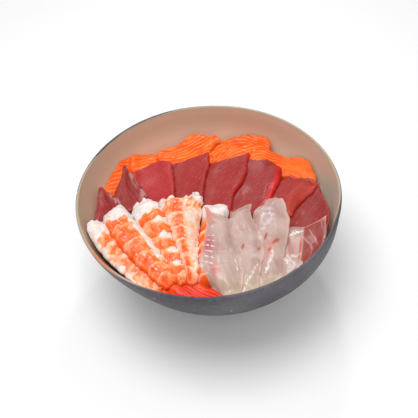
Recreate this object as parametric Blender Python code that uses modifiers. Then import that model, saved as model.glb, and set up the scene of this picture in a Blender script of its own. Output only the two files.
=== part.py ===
"""Chirashi bowl: raw fish and cooked prawns laid in fans over rice, in a hand-thrown bowl.

Metres, +Z up. The origin lies under the centre of the rim, on the plane that the foot
stands on. +Y points to the far side of the bowl, where the salmon lies.

The bowl and the rice are turned solids. Every slice and prawn is a sheet that is laid on
whatever is in the bowl already, in the order in which the cook would lay it, and is then
given its thickness upwards.
"""
import math
import random

import bmesh
import bpy
import numpy as np

# ---------------------------------------------------------------- driving dimensions

RIM_RADIUS = 0.090
RIM_HEIGHT = 0.078
OUTER = (0.09054, 0.0099)      # the outer face is part of a sphere: its radius, and how far its
INNER = (0.08876, 0.0130)      # centre lies above the rim; the same for the inner face
LIP_HEIGHT = 0.0012            # depth of the rounding of the lip
BODY_OFFSET = 0.0050           # hand-thrown: below the rim the body stands this far off-centre
BODY_OFFSET_DEPTH = 0.032      # depth below the rim at which the offset is reached
FOOT_RADIUS = 0.040
FOOT_WIDTH = 0.005
FOOT_HEIGHT = 0.006
INNER_FLOOR = 0.012            # height of the flat floor inside
BOWL_SEGMENTS = 56

GAP = 0.0003                   # clear space between neighbours
BED_CROWN_DEPTH = 0.0185       # depth of the rice below the rim, in the middle
BED_EDGE_DEPTH = 0.0295        # and at the wall
GRAIN_BUMP = 0.0009
BED_SEGMENTS = 48

CELL = 0.0005                  # spacing of the height samples that show what lies in the bowl
SEED = 7


# ---------------------------------------------------------------- materials

def material(name, colour, roughness, metallic=0.0):
    """A plain finish: colour, roughness and metallic value."""
    made = bpy.data.materials.new(name)
    made.use_nodes = True
    shader = made.node_tree.nodes["Principled BSDF"]
    shader.inputs["Base Color"].default_value = (*colour, 1.0)
    shader.inputs["Roughness"].default_value = roughness
    shader.inputs["Metallic"].default_value = metallic
    made.diffuse_color = (*colour, 1.0)
    return made


# ---------------------------------------------------------------- bowl

def smooth_step(value):
    """0 below 0, 1 above 1, and a smooth rise between."""
    value = min(1.0, max(0.0, value))
    return value * value * (3.0 - 2.0 * value)


def body_shift(z):
    """How far the turned body stands off-centre, along +X, at height z."""
    return BODY_OFFSET * smooth_step((RIM_HEIGHT - z) / BODY_OFFSET_DEPTH)


def wall_radius(face, z, inset=0.0):
    """Radius of a face of the wall at height z, or that far inside it."""
    sphere, rise = face
    return math.sqrt((sphere - inset) ** 2 - (RIM_HEIGHT + rise - z) ** 2)


def wall_arc(face, low, high, steps, inset=0.0):
    """Points on a face of the wall from height low to height high, evenly spaced along it."""
    sphere, rise = face[0] - inset, RIM_HEIGHT + face[1]
    first, last = (math.asin((rise - z) / sphere) for z in (low, high))
    turns = [first + (last - first) * i / steps for i in range(steps + 1)]
    return [(sphere * math.cos(turn), rise - sphere * math.sin(turn)) for turn in turns]


def bowl_profile():
    """The section, from the middle of the underside outwards, up, over the lip and down inside."""
    foot_inner = FOOT_RADIUS - FOOT_WIDTH
    points = [
        (0.0, FOOT_HEIGHT - 0.001),
        (foot_inner - 0.003, FOOT_HEIGHT - 0.001),
        (foot_inner, 0.001),
        (foot_inner + 0.001, 0.0),
        (FOOT_RADIUS - 0.001, 0.0),
        (FOOT_RADIUS, 0.001),
        (FOOT_RADIUS + 0.0005, FOOT_HEIGHT),
    ]
    shoulder = RIM_HEIGHT - LIP_HEIGHT
    points += wall_arc(OUTER, FOOT_HEIGHT + 0.002, shoulder, 9)
    outer_lip, inner_lip = wall_radius(OUTER, shoulder), wall_radius(INNER, shoulder)
    for i in range(1, 4):
        turn = math.pi * i / 4
        points.append(((outer_lip + inner_lip) / 2 + (outer_lip - inner_lip) / 2 * math.cos(turn),
                       shoulder + LIP_HEIGHT * math.sin(turn)))
    points += wall_arc(INNER, shoulder, INNER_FLOOR, 9)
    points.append((0.0, INNER_FLOOR))
    return points


def turned(name, profile, segments):
    """A closed solid turned about Z from a profile that starts and ends on the axis."""
    mesh = bpy.data.meshes.new(name + "_profile")
    mesh.from_pydata([(x, 0.0, z) for x, z in profile],
                     [(i, i + 1) for i in range(len(profile) - 1)], [])
    guide = bpy.data.objects.new(name + "_profile", mesh)
    bpy.context.scene.collection.objects.link(guide)
    screw = guide.modifiers.new("turn", "SCREW")
    screw.steps = screw.render_steps = segments
    screw.use_merge_vertices = True
    screw.merge_threshold = 0.00005
    screw.use_normal_calculate = True
    graph = bpy.context.evaluated_depsgraph_get()
    solid = bpy.data.meshes.new_from_object(guide.evaluated_get(graph))
    bpy.data.objects.remove(guide)
    bm = bmesh.new()
    bm.from_mesh(solid)
    bmesh.ops.remove_doubles(bm, verts=bm.verts, dist=0.00002)
    bmesh.ops.recalc_face_normals(bm, faces=bm.faces)
    bm.to_mesh(solid)
    bm.free()
    solid.name = name
    return solid


def place(name, mesh, finish):
    """Links the mesh as one named object of the bowl."""
    obj = bpy.data.objects.new(name, mesh)
    mesh.materials.append(finish)
    CONTENTS.objects.link(obj)
    return obj


def make_bowl(finish):
    mesh = turned("bowl", bowl_profile(), BOWL_SEGMENTS)
    for vertex in mesh.vertices:
        vertex.co.x += body_shift(vertex.co.z)
    mesh.shade_smooth()
    mesh.set_sharp_from_angle(angle=math.radians(40))
    return place("bowl", mesh, finish)


# ---------------------------------------------------------------- rice

def bed_height(share):
    """Height of the rice at this share of its radius, before the bumps of single grains."""
    depth = BED_CROWN_DEPTH + (BED_EDGE_DEPTH - BED_CROWN_DEPTH) * share ** 2
    return RIM_HEIGHT - depth


def make_rice(finish):
    """The bed fills the bowl up to a low mound; its top is rough at the size of a grain."""
    floor = INNER_FLOOR + 2 * GAP
    edge_height = bed_height(1.0)
    edge_radius = wall_radius(INNER, edge_height, 2 * GAP)
    rings = 10
    profile = [(0.0, floor)] + wall_arc(INNER, floor, edge_height, 5, 2 * GAP)
    for i in range(1, rings):
        share = 1.0 - i / rings
        profile.append((edge_radius * share, bed_height(share)))
    profile.append((0.0, bed_height(0.0)))
    mesh = turned("rice_bed", profile, BED_SEGMENTS)
    rng = random.Random(SEED)
    for vertex in mesh.vertices:
        share = math.hypot(vertex.co.x, vertex.co.y) / edge_radius
        lifted = abs(vertex.co.z - bed_height(share)) < GAP and share < 0.97
        vertex.co.x += body_shift(vertex.co.z)
        if lifted:
            vertex.co.z += rng.uniform(-GRAIN_BUMP, GRAIN_BUMP)
    mesh.shade_smooth()
    return place("rice_bed", mesh, finish)


# ---------------------------------------------------------------- what lies in the bowl already

class Landscape:
    """Height of whatever is in the bowl, on a square grid of samples over the whole bowl."""

    def __init__(self):
        count = int(2 * RIM_RADIUS / CELL)
        self.heights = np.full((count, count), bed_height(1.0))

    def index(self, metres):
        return (np.asarray(metres) + RIM_RADIUS) / CELL - 0.5

    def samples_in(self, triangle):
        """Rows, columns and heights of the samples under one triangle, given as 3 points."""
        x, y, z = self.index(triangle[:, 0]), self.index(triangle[:, 1]), triangle[:, 2]
        columns = np.arange(math.ceil(x.min() - 1), math.floor(x.max() + 1) + 1)
        rows = np.arange(math.ceil(y.min() - 1), math.floor(y.max() + 1) + 1)
        area = (x[1] - x[0]) * (y[2] - y[0]) - (x[2] - x[0]) * (y[1] - y[0])
        if abs(area) < 1e-9:
            return None
        across, up = np.meshgrid(columns, rows)
        b = ((across - x[0]) * (y[2] - y[0]) - (x[2] - x[0]) * (up - y[0])) / area
        c = ((x[1] - x[0]) * (up - y[0]) - (across - x[0]) * (y[1] - y[0])) / area
        a = 1.0 - b - c
        slack = -0.75 / math.sqrt(abs(area))
        inside = (a >= slack) & (b >= slack) & (c >= slack)
        limit = self.heights.shape[0]
        inside &= (across >= 0) & (across < limit) & (up >= 0) & (up < limit)
        return up[inside], across[inside], (a * z[0] + b * z[1] + c * z[2])[inside]

    def add(self, obj):
        """Raises the landscape to the top of an object."""
        mesh = obj.data
        mesh.calc_loop_triangles()
        points = np.array([v.co for v in mesh.vertices])
        for triangle in mesh.loop_triangles:
            if triangle.normal.z <= 0.0:
                continue
            found = self.samples_in(points[list(triangle.vertices)])
            if found:
                rows, columns, z = found
                np.maximum.at(self.heights, (rows, columns), z)

    def under(self, plan):
        """Heights of the landscape at an array of plan points."""
        limit = self.heights.shape[0] - 1
        columns = np.clip(np.rint(self.index(plan[:, 0])).astype(int), 0, limit)
        rows = np.clip(np.rint(self.index(plan[:, 1])).astype(int), 0, limit)
        return self.heights[rows, columns]

    def shortfall(self, triangle):
        """How far this triangle dips below the landscape, at most."""
        found = self.samples_in(triangle)
        if not found or not len(found[0]):
            return 0.0
        rows, columns, z = found
        return max(0.0, float((self.heights[rows, columns] + GAP - z).max()))


def inner_limit(z):
    """Largest distance from the bowl's own axis at height z that is clear of its wall."""
    return wall_radius(INNER, min(z, RIM_HEIGHT), 2 * GAP)


# ---------------------------------------------------------------- laying a sheet

MM = 0.001


def quad_outline(corners, bulges):
    """Maps (u, v) in 0..1 to a four-sided plan outline whose sides bow outwards.

    corners: far left, far right, near right, near left. bulges: of the far, right, near and
    left side. u runs from left to right and v from the near side to the far side.
    """
    far_left, far_right, near_right, near_left = (np.array(c[:2]) * MM for c in corners)
    centre = (far_left + far_right + near_right + near_left) / 4

    def bowed(a, b, share, bulge):
        along = b - a
        out = np.array([along[1], -along[0]])
        out = out / np.linalg.norm(out)
        if np.dot(out, (a + b) / 2 - centre) < 0:
            out = -out
        return a + along * share + out * bulge * MM * 4 * share * (1 - share)

    def mapped(u, v):
        far = bowed(far_left, far_right, u, bulges[0])
        near = bowed(near_left, near_right, u, bulges[2])
        left = bowed(near_left, far_left, v, bulges[3])
        right = bowed(near_right, far_right, v, bulges[1])
        straight = ((1 - u) * (1 - v) * near_left + u * (1 - v) * near_right
                    + (1 - u) * v * far_left + u * v * far_right)
        return (1 - v) * near + v * far + (1 - u) * left + u * right - straight

    return mapped


def quad_prop(corners):
    """Height that the top of a slice is held up to at least, from its corners' third values."""
    far_left, far_right, near_right, near_left = (RIM_HEIGHT + c[2] * MM for c in corners)

    def height(u, v):
        return ((1 - u) * (1 - v) * near_left + u * (1 - v) * near_right
                + (1 - u) * v * far_left + u * v * far_right)

    return height


def settled(heights, floor, sag):
    """Lets a sheet sink until it rests: a point may hang a little below the mean of its
    neighbours, by as much as the piece is limp, but never below the floor."""
    for _ in range(160):
        padded = np.pad(heights, 1, mode="reflect", reflect_type="odd")
        mean = (padded[:-2, 1:-1] + padded[2:, 1:-1] + padded[1:-1, :-2] + padded[1:-1, 2:]) / 4
        heights = np.maximum(floor, mean - sag)
    return heights


def inside_wall(x, y, z):
    """The point drawn in towards the bowl's axis, softly, where it would reach the wall."""
    centre = body_shift(z)
    reach = math.hypot(x - centre, y)
    limit = inner_limit(z)
    soft = 0.03 * limit
    start = limit - soft
    if reach > start:
        drawn = start + soft * (1 - math.exp(-(reach - start) / soft))
        return centre + (x - centre) * drawn / reach, y * drawn / reach
    return x, y


def rim_of_grid(columns, rows):
    """Pairs of neighbouring points along the edge of a sheet of so many columns and rows."""
    width = columns + 1
    near = list(range(width))
    far = [rows * width + i for i in near]
    left = [i * width for i in range(rows + 1)]
    right = [i + columns for i in left]
    return [pair for side in (near, far, left, right) for pair in zip(side, side[1:])]


def laid_solid(name, outline, prop, thickness, grid, sag, land, finish):
    """A sheet over the plan outline, resting on the landscape, thickened upwards.

    prop(u, v) is the height the top is held up to at least; thickness(u, v) is the piece's
    own; sag is how far a point may hang below its neighbours.
    """
    columns, rows = grid
    bm = bmesh.new()
    bmesh.ops.create_grid(bm, x_segments=columns, y_segments=rows, size=1.0)
    bmesh.ops.triangulate(bm, faces=bm.faces, quad_method="FIXED")
    places = np.array([((v.co.x + 1) / 2, (v.co.y + 1) / 2) for v in bm.verts])
    plan = np.array([outline(u, v) for u, v in places])
    thick = np.array([thickness(u, v) for u, v in places])
    held = np.array([prop(u, v) for u, v in places]) - thick
    triangles = [[v.index for v in face.verts] for face in bm.faces]
    shape = (rows + 1, columns + 1)

    floor = np.maximum(held, land.under(plan) + GAP)
    heights = settled(np.full(shape, floor.max()), floor.reshape(shape), sag)
    rim = rim_of_grid(columns, rows)
    for _ in range(60):
        low = np.array([(*inside_wall(x, y, z), z) for (x, y), z in zip(plan, heights.ravel())])
        high = np.array([(*inside_wall(x, y, z), z) for (x, y), z in zip(plan, low[:, 2] + thick)])
        short = np.zeros(len(plan))
        for corners in triangles:
            short[corners] = np.maximum(short[corners], land.shortfall(low[corners]))
        for a, b in rim:
            side = max(land.shortfall(np.array([low[a], low[b], high[b]])),
                       land.shortfall(np.array([low[a], high[b], high[a]])))
            short[[a, b]] = np.maximum(short[[a, b]], side)
        if short.max() < 0.00001:
            break
        floor = np.maximum(floor, heights.ravel() + np.where(short > 0, 0.6 * short + 0.00001, -1.0))
        heights = settled(np.maximum(heights, floor.reshape(shape)), floor.reshape(shape), sag)

    top_of = {}
    for i, vertex in enumerate(bm.verts):
        vertex.co = low[i]
        top_of[tuple(vertex.co)] = high[i]
    raised = bmesh.ops.extrude_face_region(bm, geom=list(bm.faces))["geom"]
    for item in raised:
        if isinstance(item, bmesh.types.BMVert):
            item.co = top_of[tuple(item.co)]
    bmesh.ops.recalc_face_normals(bm, faces=bm.faces)
    if bm.calc_volume(signed=True) < 0:
        bmesh.ops.reverse_faces(bm, faces=bm.faces)
    mesh = bpy.data.meshes.new(name)
    bm.to_mesh(mesh)
    bm.free()
    mesh.shade_smooth()
    mesh.set_sharp_from_angle(angle=math.radians(50))
    obj = place(name, mesh, finish)
    land.add(obj)
    return obj


# ---------------------------------------------------------------- slices of fish

# Each slice: far left, far right, near right and near left corner as (x, y, height of the top
# from the rim), then how far its far, right, near and left side bow outwards, all in millimetres.
# They are laid in the order written.
SALMON = {
    "salmon_1": (((-64, 57, -21), (-50, 53, -21), (-52, 14, -19), (-79, 21, -19)), (3, 0, 0, 6)),
    "salmon_2": (((-58, 57, -22), (-34, 64, -22), (-26, 36, -22), (-54, 28, -21)), (4, 0, 0, 1)),
    "salmon_4": (((8, 66, -22), (49, 68, -22), (46, 32, -21), (4, 36, -20)), (6, -1, 0, 0)),
    "salmon_5": (((35, 52, -18), (75, 38, -20), (77, 15, -19), (31, 36, -18)), (7, 2, 0, 1)),
    "salmon_3": (((-33, 63, -20), (13, 66, -18), (11, 40, -20), (-32, 38, -20)), (10, 0, 0, 1)),
}
TUNA = {
    "tuna_9": (((-76, -22, -16), (-54, -24, -17), (-38, -60, -19), (-58, -54, -18)), (0, 0, 2, 3)),
    "tuna_8": (((57, 8, -19), (79, 11, -15), (73, -40, -16), (50, -36, -19)), (0, 5, 0, 0)),
    "tuna_7": (((50, 20, -19), (78, 13, -14), (56, -15, -13), (32, -12, -18)), (4, 1, 0, 0)),
    "tuna_6": (((25, 30, -19), (54, 30, -13), (34, -14, -12), (10, -12, -18)), (2, 3, 0, 0)),
    "tuna_5": (((-2, 37, -19), (33, 44, -13), (14, -14, -11), (-10, -10, -17)), (0, -3, 0, 0)),
    "tuna_4": (((-29, 37, -19), (3, 48, -13), (-3, -8, -11), (-28, -8, -17)), (2, -1, 0, 0)),
    "tuna_3": (((-57, 30, -18), (-25, 46, -14), (-23, -4, -12), (-44, -8, -16)), (4, 0, 0, 2)),
    "tuna_2": (((-61, 34, -10), (-56, 37, -8), (-40, 2, -12), (-66, -8, -14)), (0, -2, 0, -2)),
    "tuna_1": (((-79, 10, -12), (-74, 15, -10), (-54, -12, -12), (-80, -17, -14)), (0, 1, 0, 0)),
}
WHITE = {
    "white_5": (((50, -29, -14), (77, -25, -11), (68, -56, -14), (44, -70, -16)), (0, 4, 2, 0)),
    "white_4": (((42, -20, -12), (54, -20, -9), (49, -66, -14), (30, -78, -16)), (2, 1, 2, 0)),
    "white_3": (((27, -18, -11), (51, -6, -6), (42, -70, -15), (16, -81, -17)), (3, 5, 1, 0)),
    "white_2": (((10, -20, -11), (28, -9, -7), (26, -76, -15), (-2, -84, -17)), (2, 6, 0, 0)),
    "white_1": (((-3, -9, -9), (15, -20, -8), (14, -79, -15), (-9, -62, -13)), (1, 3, 0, 0)),
}
FISH_GRID = (6, 9)


def slice_thickness(full, edge, ripple, waves, lean):
    """A slice: full thickness inside, thinner at its rim, with ripples along its length."""
    def thickness(u, v):
        margin = min(u, 1 - u, v, 1 - v)
        body = edge + (full - edge) * smooth_step(margin / 0.16)
        return body + ripple * math.sin(waves * math.pi * (v + lean * u)) * smooth_step(margin / 0.1)
    return thickness


def lay_slices(slices, thickness, sag, land, finish):
    for name, (corners, bulges) in slices.items():
        laid_solid(name, quad_outline(corners, bulges), quad_prop(corners), thickness,
                   FISH_GRID, sag, land, finish)


# ---------------------------------------------------------------- prawns

SEGMENTS = 6                    # shell segments that scallop the flesh
TAIL_START = 0.84               # share of the length at which the tail fan begins
PRAWN_GRID = (6, 20)
PRAWN_SAG = 0.0003

# Each prawn: points along its middle, from the head end to the tail's tip, as (x, y, height of
# the top from the rim, width), in millimetres; then its thickness.
PRAWNS = {
    "prawn_5": (((4, -8, -9, 18), (2, -25, -10, 17), (0, -42, -11, 13), (-5, -60, -12, 9),
                 (-8, -78, -15, 12)), 6.5),
    "prawn_4": (((-20, 4, -6, 34), (-19, -14, -7, 28), (-17, -32, -8, 19), (-15, -52, -10, 10),
                 (-4, -79, -13, 13)), 6.5),
    "prawn_3": (((-46, 1, -6, 18), (-40, -16, -7, 21), (-33, -36, -8, 17), (-24, -57, -11, 9),
                 (-16, -80, -13, 12)), 7.0),
    "prawn_1": (((-83, -22, -8, 19), (-68, -33, -10, 20), (-55, -48, -12, 17), (-42, -63, -14, 11),
                 (-25, -81, -14, 14)), 6.0),
    "prawn_2": (((-64, -4, -6, 15), (-55, -23, -7, 17), (-44, -42, -8, 16), (-33, -61, -11, 9),
                 (-28, -80, -13, 12)), 7.0),
}


def along_curve(points, share):
    """Smooth curve through evenly spread points; share runs from 0 to 1."""
    points = np.array(points, dtype=float)
    position = min(max(share, 0.0), 1.0) * (len(points) - 1)
    i = min(int(position), len(points) - 2)
    t = position - i
    before = points[i - 1] if i > 0 else 2 * points[0] - points[1]
    after = points[i + 2] if i + 2 < len(points) else 2 * points[-1] - points[-2]
    a, b = points[i], points[i + 1]
    return 0.5 * (2 * a + (b - before) * t + (2 * before - 5 * a + 4 * b - after) * t ** 2
                  + (3 * a - before - 3 * b + after) * t ** 3)


def prawn_outline(points):
    """u runs across; v runs from the tail's tip, 0, to the head end, 1."""
    def mapped(u, v):
        share = 1 - v
        here = along_curve(points, share)
        ahead = along_curve(points, min(1.0, share + 0.01))
        behind = along_curve(points, max(0.0, share - 0.01))
        along = (ahead - behind)[:2]
        side = np.array([-along[1], along[0]]) / np.linalg.norm(along)
        across = 2 * u - 1
        round_end = math.sqrt(max(0.0, 1 - (1 - min(1.0, share / 0.10)) ** 2))
        half = here[3] / 2 * (0.6 + 0.4 * round_end)
        if share < TAIL_START:
            half *= 1 + 0.04 * abs(math.sin(math.pi * SEGMENTS * share / TAIL_START))
        return (here[:2] + side * across * half) * MM

    return mapped


def prawn_prop(points):
    def height(u, v):
        return RIM_HEIGHT + along_curve(points, 1 - v)[2] * MM - 0.25 * PRAWN_RISE * (2 * u - 1) ** 2
    return height


PRAWN_RISE = 0.006


def prawn_thickness(full):
    """Domed across, stepped down at each shell segment, and a thin ribbed fan at the tail."""
    full = full * MM

    def thickness(u, v):
        across = abs(2 * u - 1)
        body = 1 - v
        if body > TAIL_START:
            return 0.0018 + 0.0006 * abs(math.cos(math.pi * 2.5 * across))
        share = body / TAIL_START
        height = full * (1 - 0.35 * share) * (0.90 + 0.10 * ((share * SEGMENTS) % 1.0))
        front = 0.45 + 0.55 * smooth_step(share / 0.10)
        return 0.0018 + (height * front - 0.0018) * (1 - across ** 2.2)
    return thickness


def lay_prawn(name, land, finish):
    points, full = PRAWNS[name]
    laid_solid(name, prawn_outline(points), prawn_prop(points), prawn_thickness(full),
               PRAWN_GRID, PRAWN_SAG, land, finish)


# ---------------------------------------------------------------- the whole

for old in list(bpy.data.objects):
    bpy.data.objects.remove(old)
CONTENTS = bpy.data.collections.new("chirashi_bowl")
bpy.context.scene.collection.children.link(CONTENTS)

glaze = material("glaze", (0.10, 0.095, 0.11), 0.55)
rice = material("rice", (0.86, 0.83, 0.76), 0.50)
salmon_flesh = material("salmon_flesh", (0.95, 0.22, 0.03), 0.30)
tuna_flesh = material("tuna_flesh", (0.55, 0.05, 0.05), 0.35)
white_flesh = material("white_flesh", (0.78, 0.62, 0.54), 0.25)
prawn_flesh = material("prawn_flesh", (0.95, 0.45, 0.24), 0.30)

make_bowl(glaze)
bed = make_rice(rice)
landscape = Landscape()
landscape.add(bed)
lay_slices(SALMON, slice_thickness(0.0052, 0.0026, 0.0004, 7, 0.6), 0.00034, landscape, salmon_flesh)
lay_slices(TUNA, slice_thickness(0.0058, 0.0028, 0.0002, 5, 0.3), 0.00028, landscape, tuna_flesh)
lay_prawn("prawn_5", landscape, prawn_flesh)
lay_slices(WHITE, slice_thickness(0.0042, 0.0018, 0.0003, 6, 0.4), 0.00034, landscape, white_flesh)
for prawn in ("prawn_4", "prawn_3", "prawn_1", "prawn_2"):
    lay_prawn(prawn, landscape, prawn_flesh)
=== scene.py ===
"""Looks of the chirashi bowl: the stoneware, the rice and every slice and prawn that lies on it."""
import math
import random

import bmesh
import bpy
import numpy as np
from mathutils import Matrix, Vector
from mathutils.bvhtree import BVHTree


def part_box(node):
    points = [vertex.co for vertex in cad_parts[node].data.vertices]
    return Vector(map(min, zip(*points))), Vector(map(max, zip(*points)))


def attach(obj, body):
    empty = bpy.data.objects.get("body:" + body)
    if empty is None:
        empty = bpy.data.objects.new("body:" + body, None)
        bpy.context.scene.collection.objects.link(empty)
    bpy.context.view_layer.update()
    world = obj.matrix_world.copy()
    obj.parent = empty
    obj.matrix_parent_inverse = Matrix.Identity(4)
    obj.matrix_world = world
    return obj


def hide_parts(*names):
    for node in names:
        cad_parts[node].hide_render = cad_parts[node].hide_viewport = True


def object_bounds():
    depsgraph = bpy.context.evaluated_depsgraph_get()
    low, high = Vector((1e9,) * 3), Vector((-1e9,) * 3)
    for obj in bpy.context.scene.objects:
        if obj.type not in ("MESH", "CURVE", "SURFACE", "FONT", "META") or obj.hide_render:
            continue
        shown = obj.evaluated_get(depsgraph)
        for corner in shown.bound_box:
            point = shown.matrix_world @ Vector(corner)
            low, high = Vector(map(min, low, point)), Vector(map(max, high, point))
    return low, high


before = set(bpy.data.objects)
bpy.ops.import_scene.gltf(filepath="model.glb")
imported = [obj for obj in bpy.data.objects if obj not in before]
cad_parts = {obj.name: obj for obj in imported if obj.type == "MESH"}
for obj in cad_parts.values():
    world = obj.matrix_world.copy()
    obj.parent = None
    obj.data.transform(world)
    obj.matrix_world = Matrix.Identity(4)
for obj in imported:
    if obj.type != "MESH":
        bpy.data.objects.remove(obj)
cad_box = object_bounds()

# ================================================================ the bowl
# A deep round bowl of stoneware, thrown by hand, so that its body stands a little off the
# centre of its rim. It is glazed a satin tan inside and left a matt slate grey outside, with
# small pale and brown specks of iron and grit. The thin lip is bare along its crest.

MM = 0.001
RIM_HEIGHT = cad_box[1].z
OUTER = (90.54 * MM, 9.9 * MM)      # each face is part of a sphere: its radius, and how far its
INNER = (88.76 * MM, 13.0 * MM)     # centre lies above the rim
LIP_HEIGHT = 1.2 * MM
BODY_OFFSET = 5.0 * MM
BODY_OFFSET_DEPTH = 32 * MM
FOOT_RADIUS = 40 * MM
FOOT_WIDTH = 5 * MM
FOOT_HEIGHT = 6 * MM
INNER_FLOOR = 12 * MM
BOWL_TURNS = 176
RING_DEPTH, RING_SPACING = 0.05 * MM, 3.4 * MM      # the potter's faint rings
OUT_OF_ROUND = 0.12 * MM
OUT_OF_LEVEL = 0.15 * MM
TOUCHING = 0.01 * MM                # points closer than this become one
GLAZE_BLEND = 6.0                   # steps of the section over which one glaze meets the other
REFLECTION_ANGLE, SHADOW_ANGLE = 218, 214     # where a reflection of the prawn is painted on the lip, and painted shadow runs down inside it
# How far the tan glaze runs over the lip: at an angle in degrees, over a spread, by a share.
LIP_GLAZE = ((128, 24, -0.55), (205, 24, 0.9), (300, 40, -0.9), (45, 30, 0.8), (350, 15, 0.4))


def eased(value):
    """0 below 0, 1 above 1, and a smooth rise between."""
    value = np.clip(value, 0.0, 1.0)
    return value * value * (3.0 - 2.0 * value)


def bell(value, middle, width):
    """1 at the middle, falling to 0 on both sides."""
    return np.exp(-((value - middle) / width) ** 2)


def body_shift(z):
    """How far the thrown body stands off-centre, along +X, at height z."""
    return BODY_OFFSET * eased((RIM_HEIGHT - z) / BODY_OFFSET_DEPTH)


def wall_radius(face, z, inset=0.0):
    sphere, rise = face
    return np.sqrt(np.maximum((sphere - inset) ** 2 - (RIM_HEIGHT + rise - z) ** 2, 1e-8))


def wander(x, y, size, seed):
    """A smooth random field between about -1 and 1, with features of this size."""
    rng = np.random.default_rng(seed)
    total = 0.0
    for _ in range(9):
        turn, phase = rng.uniform(0, 2 * math.pi, 2)
        wave = 2 * math.pi / (size * rng.uniform(1.2, 3.0))
        total = total + np.sin(wave * (x * math.cos(turn) + y * math.sin(turn)) + phase)
    return total / 3.0


def bowl_section():
    """Radius and height along the section, from under the foot to the middle of the inner floor."""
    foot_inner = FOOT_RADIUS - FOOT_WIDTH
    points = [(r, FOOT_HEIGHT - MM) for r in np.linspace(0, foot_inner - 3 * MM, 8)]
    points += [(foot_inner - 0.6 * MM, 2 * MM), (foot_inner, MM), (foot_inner + 0.4 * MM, 0.3 * MM),
               (foot_inner + MM, 0.0), (FOOT_RADIUS - MM, 0.0), (FOOT_RADIUS - 0.3 * MM, 0.3 * MM),
               (FOOT_RADIUS, MM), (FOOT_RADIUS + 0.3 * MM, 4 * MM), (FOOT_RADIUS + 0.5 * MM, FOOT_HEIGHT)]
    shoulder = RIM_HEIGHT - LIP_HEIGHT
    points += [(wall_radius(OUTER, z), z) for z in np.linspace(FOOT_HEIGHT + 2 * MM, shoulder, 44)]
    outer_lip, inner_lip = wall_radius(OUTER, shoulder), wall_radius(INNER, shoulder)
    for turn in np.linspace(0, math.pi, 11)[1:-1]:
        points.append(((outer_lip + inner_lip) / 2 + (outer_lip - inner_lip) / 2 * math.cos(turn),
                       shoulder + LIP_HEIGHT * math.sin(turn)))
    points += [(wall_radius(INNER, z), z) for z in np.linspace(shoulder, INNER_FLOOR, 44)]
    points += [(r, INNER_FLOOR) for r in np.linspace(wall_radius(INNER, INNER_FLOOR), 0, 8)[1:]]
    return np.array(points)


def shown(name, data):
    """A new object in the scene from this mesh, light or camera."""
    made = bpy.data.objects.new(name, data)
    bpy.context.scene.collection.objects.link(made)
    return made


def link_piece(name, mesh, finish):
    """Makes the mesh a shown piece, on the bowl's one body."""
    piece = shown(name, mesh)
    mesh.materials.append(finish)
    mesh.shade_smooth()
    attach(piece, "root")
    return piece


def note(mesh, **values):
    """Keeps a value for each vertex, which the materials read by name."""
    for name, numbers in values.items():
        kind, field = ("FLOAT_VECTOR", "vector") if np.ndim(numbers) == 2 else ("FLOAT", "value")
        made = mesh.attributes.new(name, kind, "POINT")
        made.data.foreach_set(field, np.ascontiguousarray(numbers, dtype=np.float32).ravel())


def turned_mesh(name, x, y, z):
    """A mesh from one section's points at even turns round the axis, turns by points."""
    turns, count = x.shape
    faces = [(i * count + k, (i + 1) % turns * count + k, (i + 1) % turns * count + k + 1, i * count + k + 1)
             for i in range(turns) for k in range(count - 1)]
    mesh = bpy.data.meshes.new(name)
    mesh.from_pydata(np.stack([x, y, z + 0 * x], axis=-1).reshape(-1, 3).tolist(), [], faces)
    return mesh


def close_mesh(mesh, join=False):
    """Turns all faces outwards. Before that, it joins points that touch, where join says so."""
    bm = bmesh.new()
    bm.from_mesh(mesh)
    if join:
        bmesh.ops.remove_doubles(bm, verts=bm.verts, dist=TOUCHING)
    bmesh.ops.recalc_face_normals(bm, faces=bm.faces)
    if bm.calc_volume(signed=True) < 0:
        bmesh.ops.reverse_faces(bm, faces=bm.faces)
    bm.to_mesh(mesh)
    bm.free()


def thrown_bowl(finish):
    """The section turned about Z, with the potter's faint rings and a rim that isn't quite level."""
    section = bowl_section()
    radius, height = section.T
    angle = np.arange(BOWL_TURNS)[:, None] * 2 * math.pi / BOWL_TURNS
    ring_marks = RING_DEPTH * np.sin(2 * math.pi * height / RING_SPACING + angle)
    wobble = OUT_OF_ROUND * (np.sin(3 * angle + 0.7) + 0.6 * np.sin(7 * angle))
    free = eased((height - 10 * MM) / (20 * MM))
    round_at = radius + free * (ring_marks + wobble)
    x = round_at * np.cos(angle) + body_shift(height)
    y = round_at * np.sin(angle)
    z = height - OUT_OF_LEVEL * free * (1 + np.sin(5 * angle + 1.0)) / 2
    mesh = turned_mesh("bowl_stoneware", x, y, z)
    inwards = np.arange(len(section)) - int(np.argmax(height))
    over_lip = sum(reach * np.exp(-((np.degrees(angle) - at + 180) % 360 - 180) ** 2 / 2 / spread ** 2)
                   for at, spread, reach in LIP_GLAZE)
    tan = np.clip(inwards / GLAZE_BLEND + 0.5 + over_lip, 0, 1)
    # Painted reflection: an orange-brown patch on the lip, where the prawn beside it is mirrored in the
    # glaze.
    stain = bell(inwards, 0, GLAZE_BLEND) * bell(np.degrees(angle), REFLECTION_ANGLE, 8.0)
    # Painted shadow: dark brown down the inner wall, in the gap under the prawn.
    sauce = eased((inwards - 2) / 4.0) * np.exp(-((np.degrees(angle) - SHADOW_ANGLE) / 12.0) ** 4)
    note(mesh, inside=tan.ravel(), stain=stain.ravel(), sauce=sauce.ravel())
    close_mesh(mesh, join=True)
    return link_piece("bowl_stoneware", mesh, finish)


def paint(red, green, blue):
    """The linear colour of a paint that is given by its screen values, 0 to 255."""
    def linear(value):
        value = value / 255
        return value / 12.92 if value <= 0.04045 else ((value + 0.055) / 1.055) ** 2.4
    return (linear(red), linear(green), linear(blue), 1.0)


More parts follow.
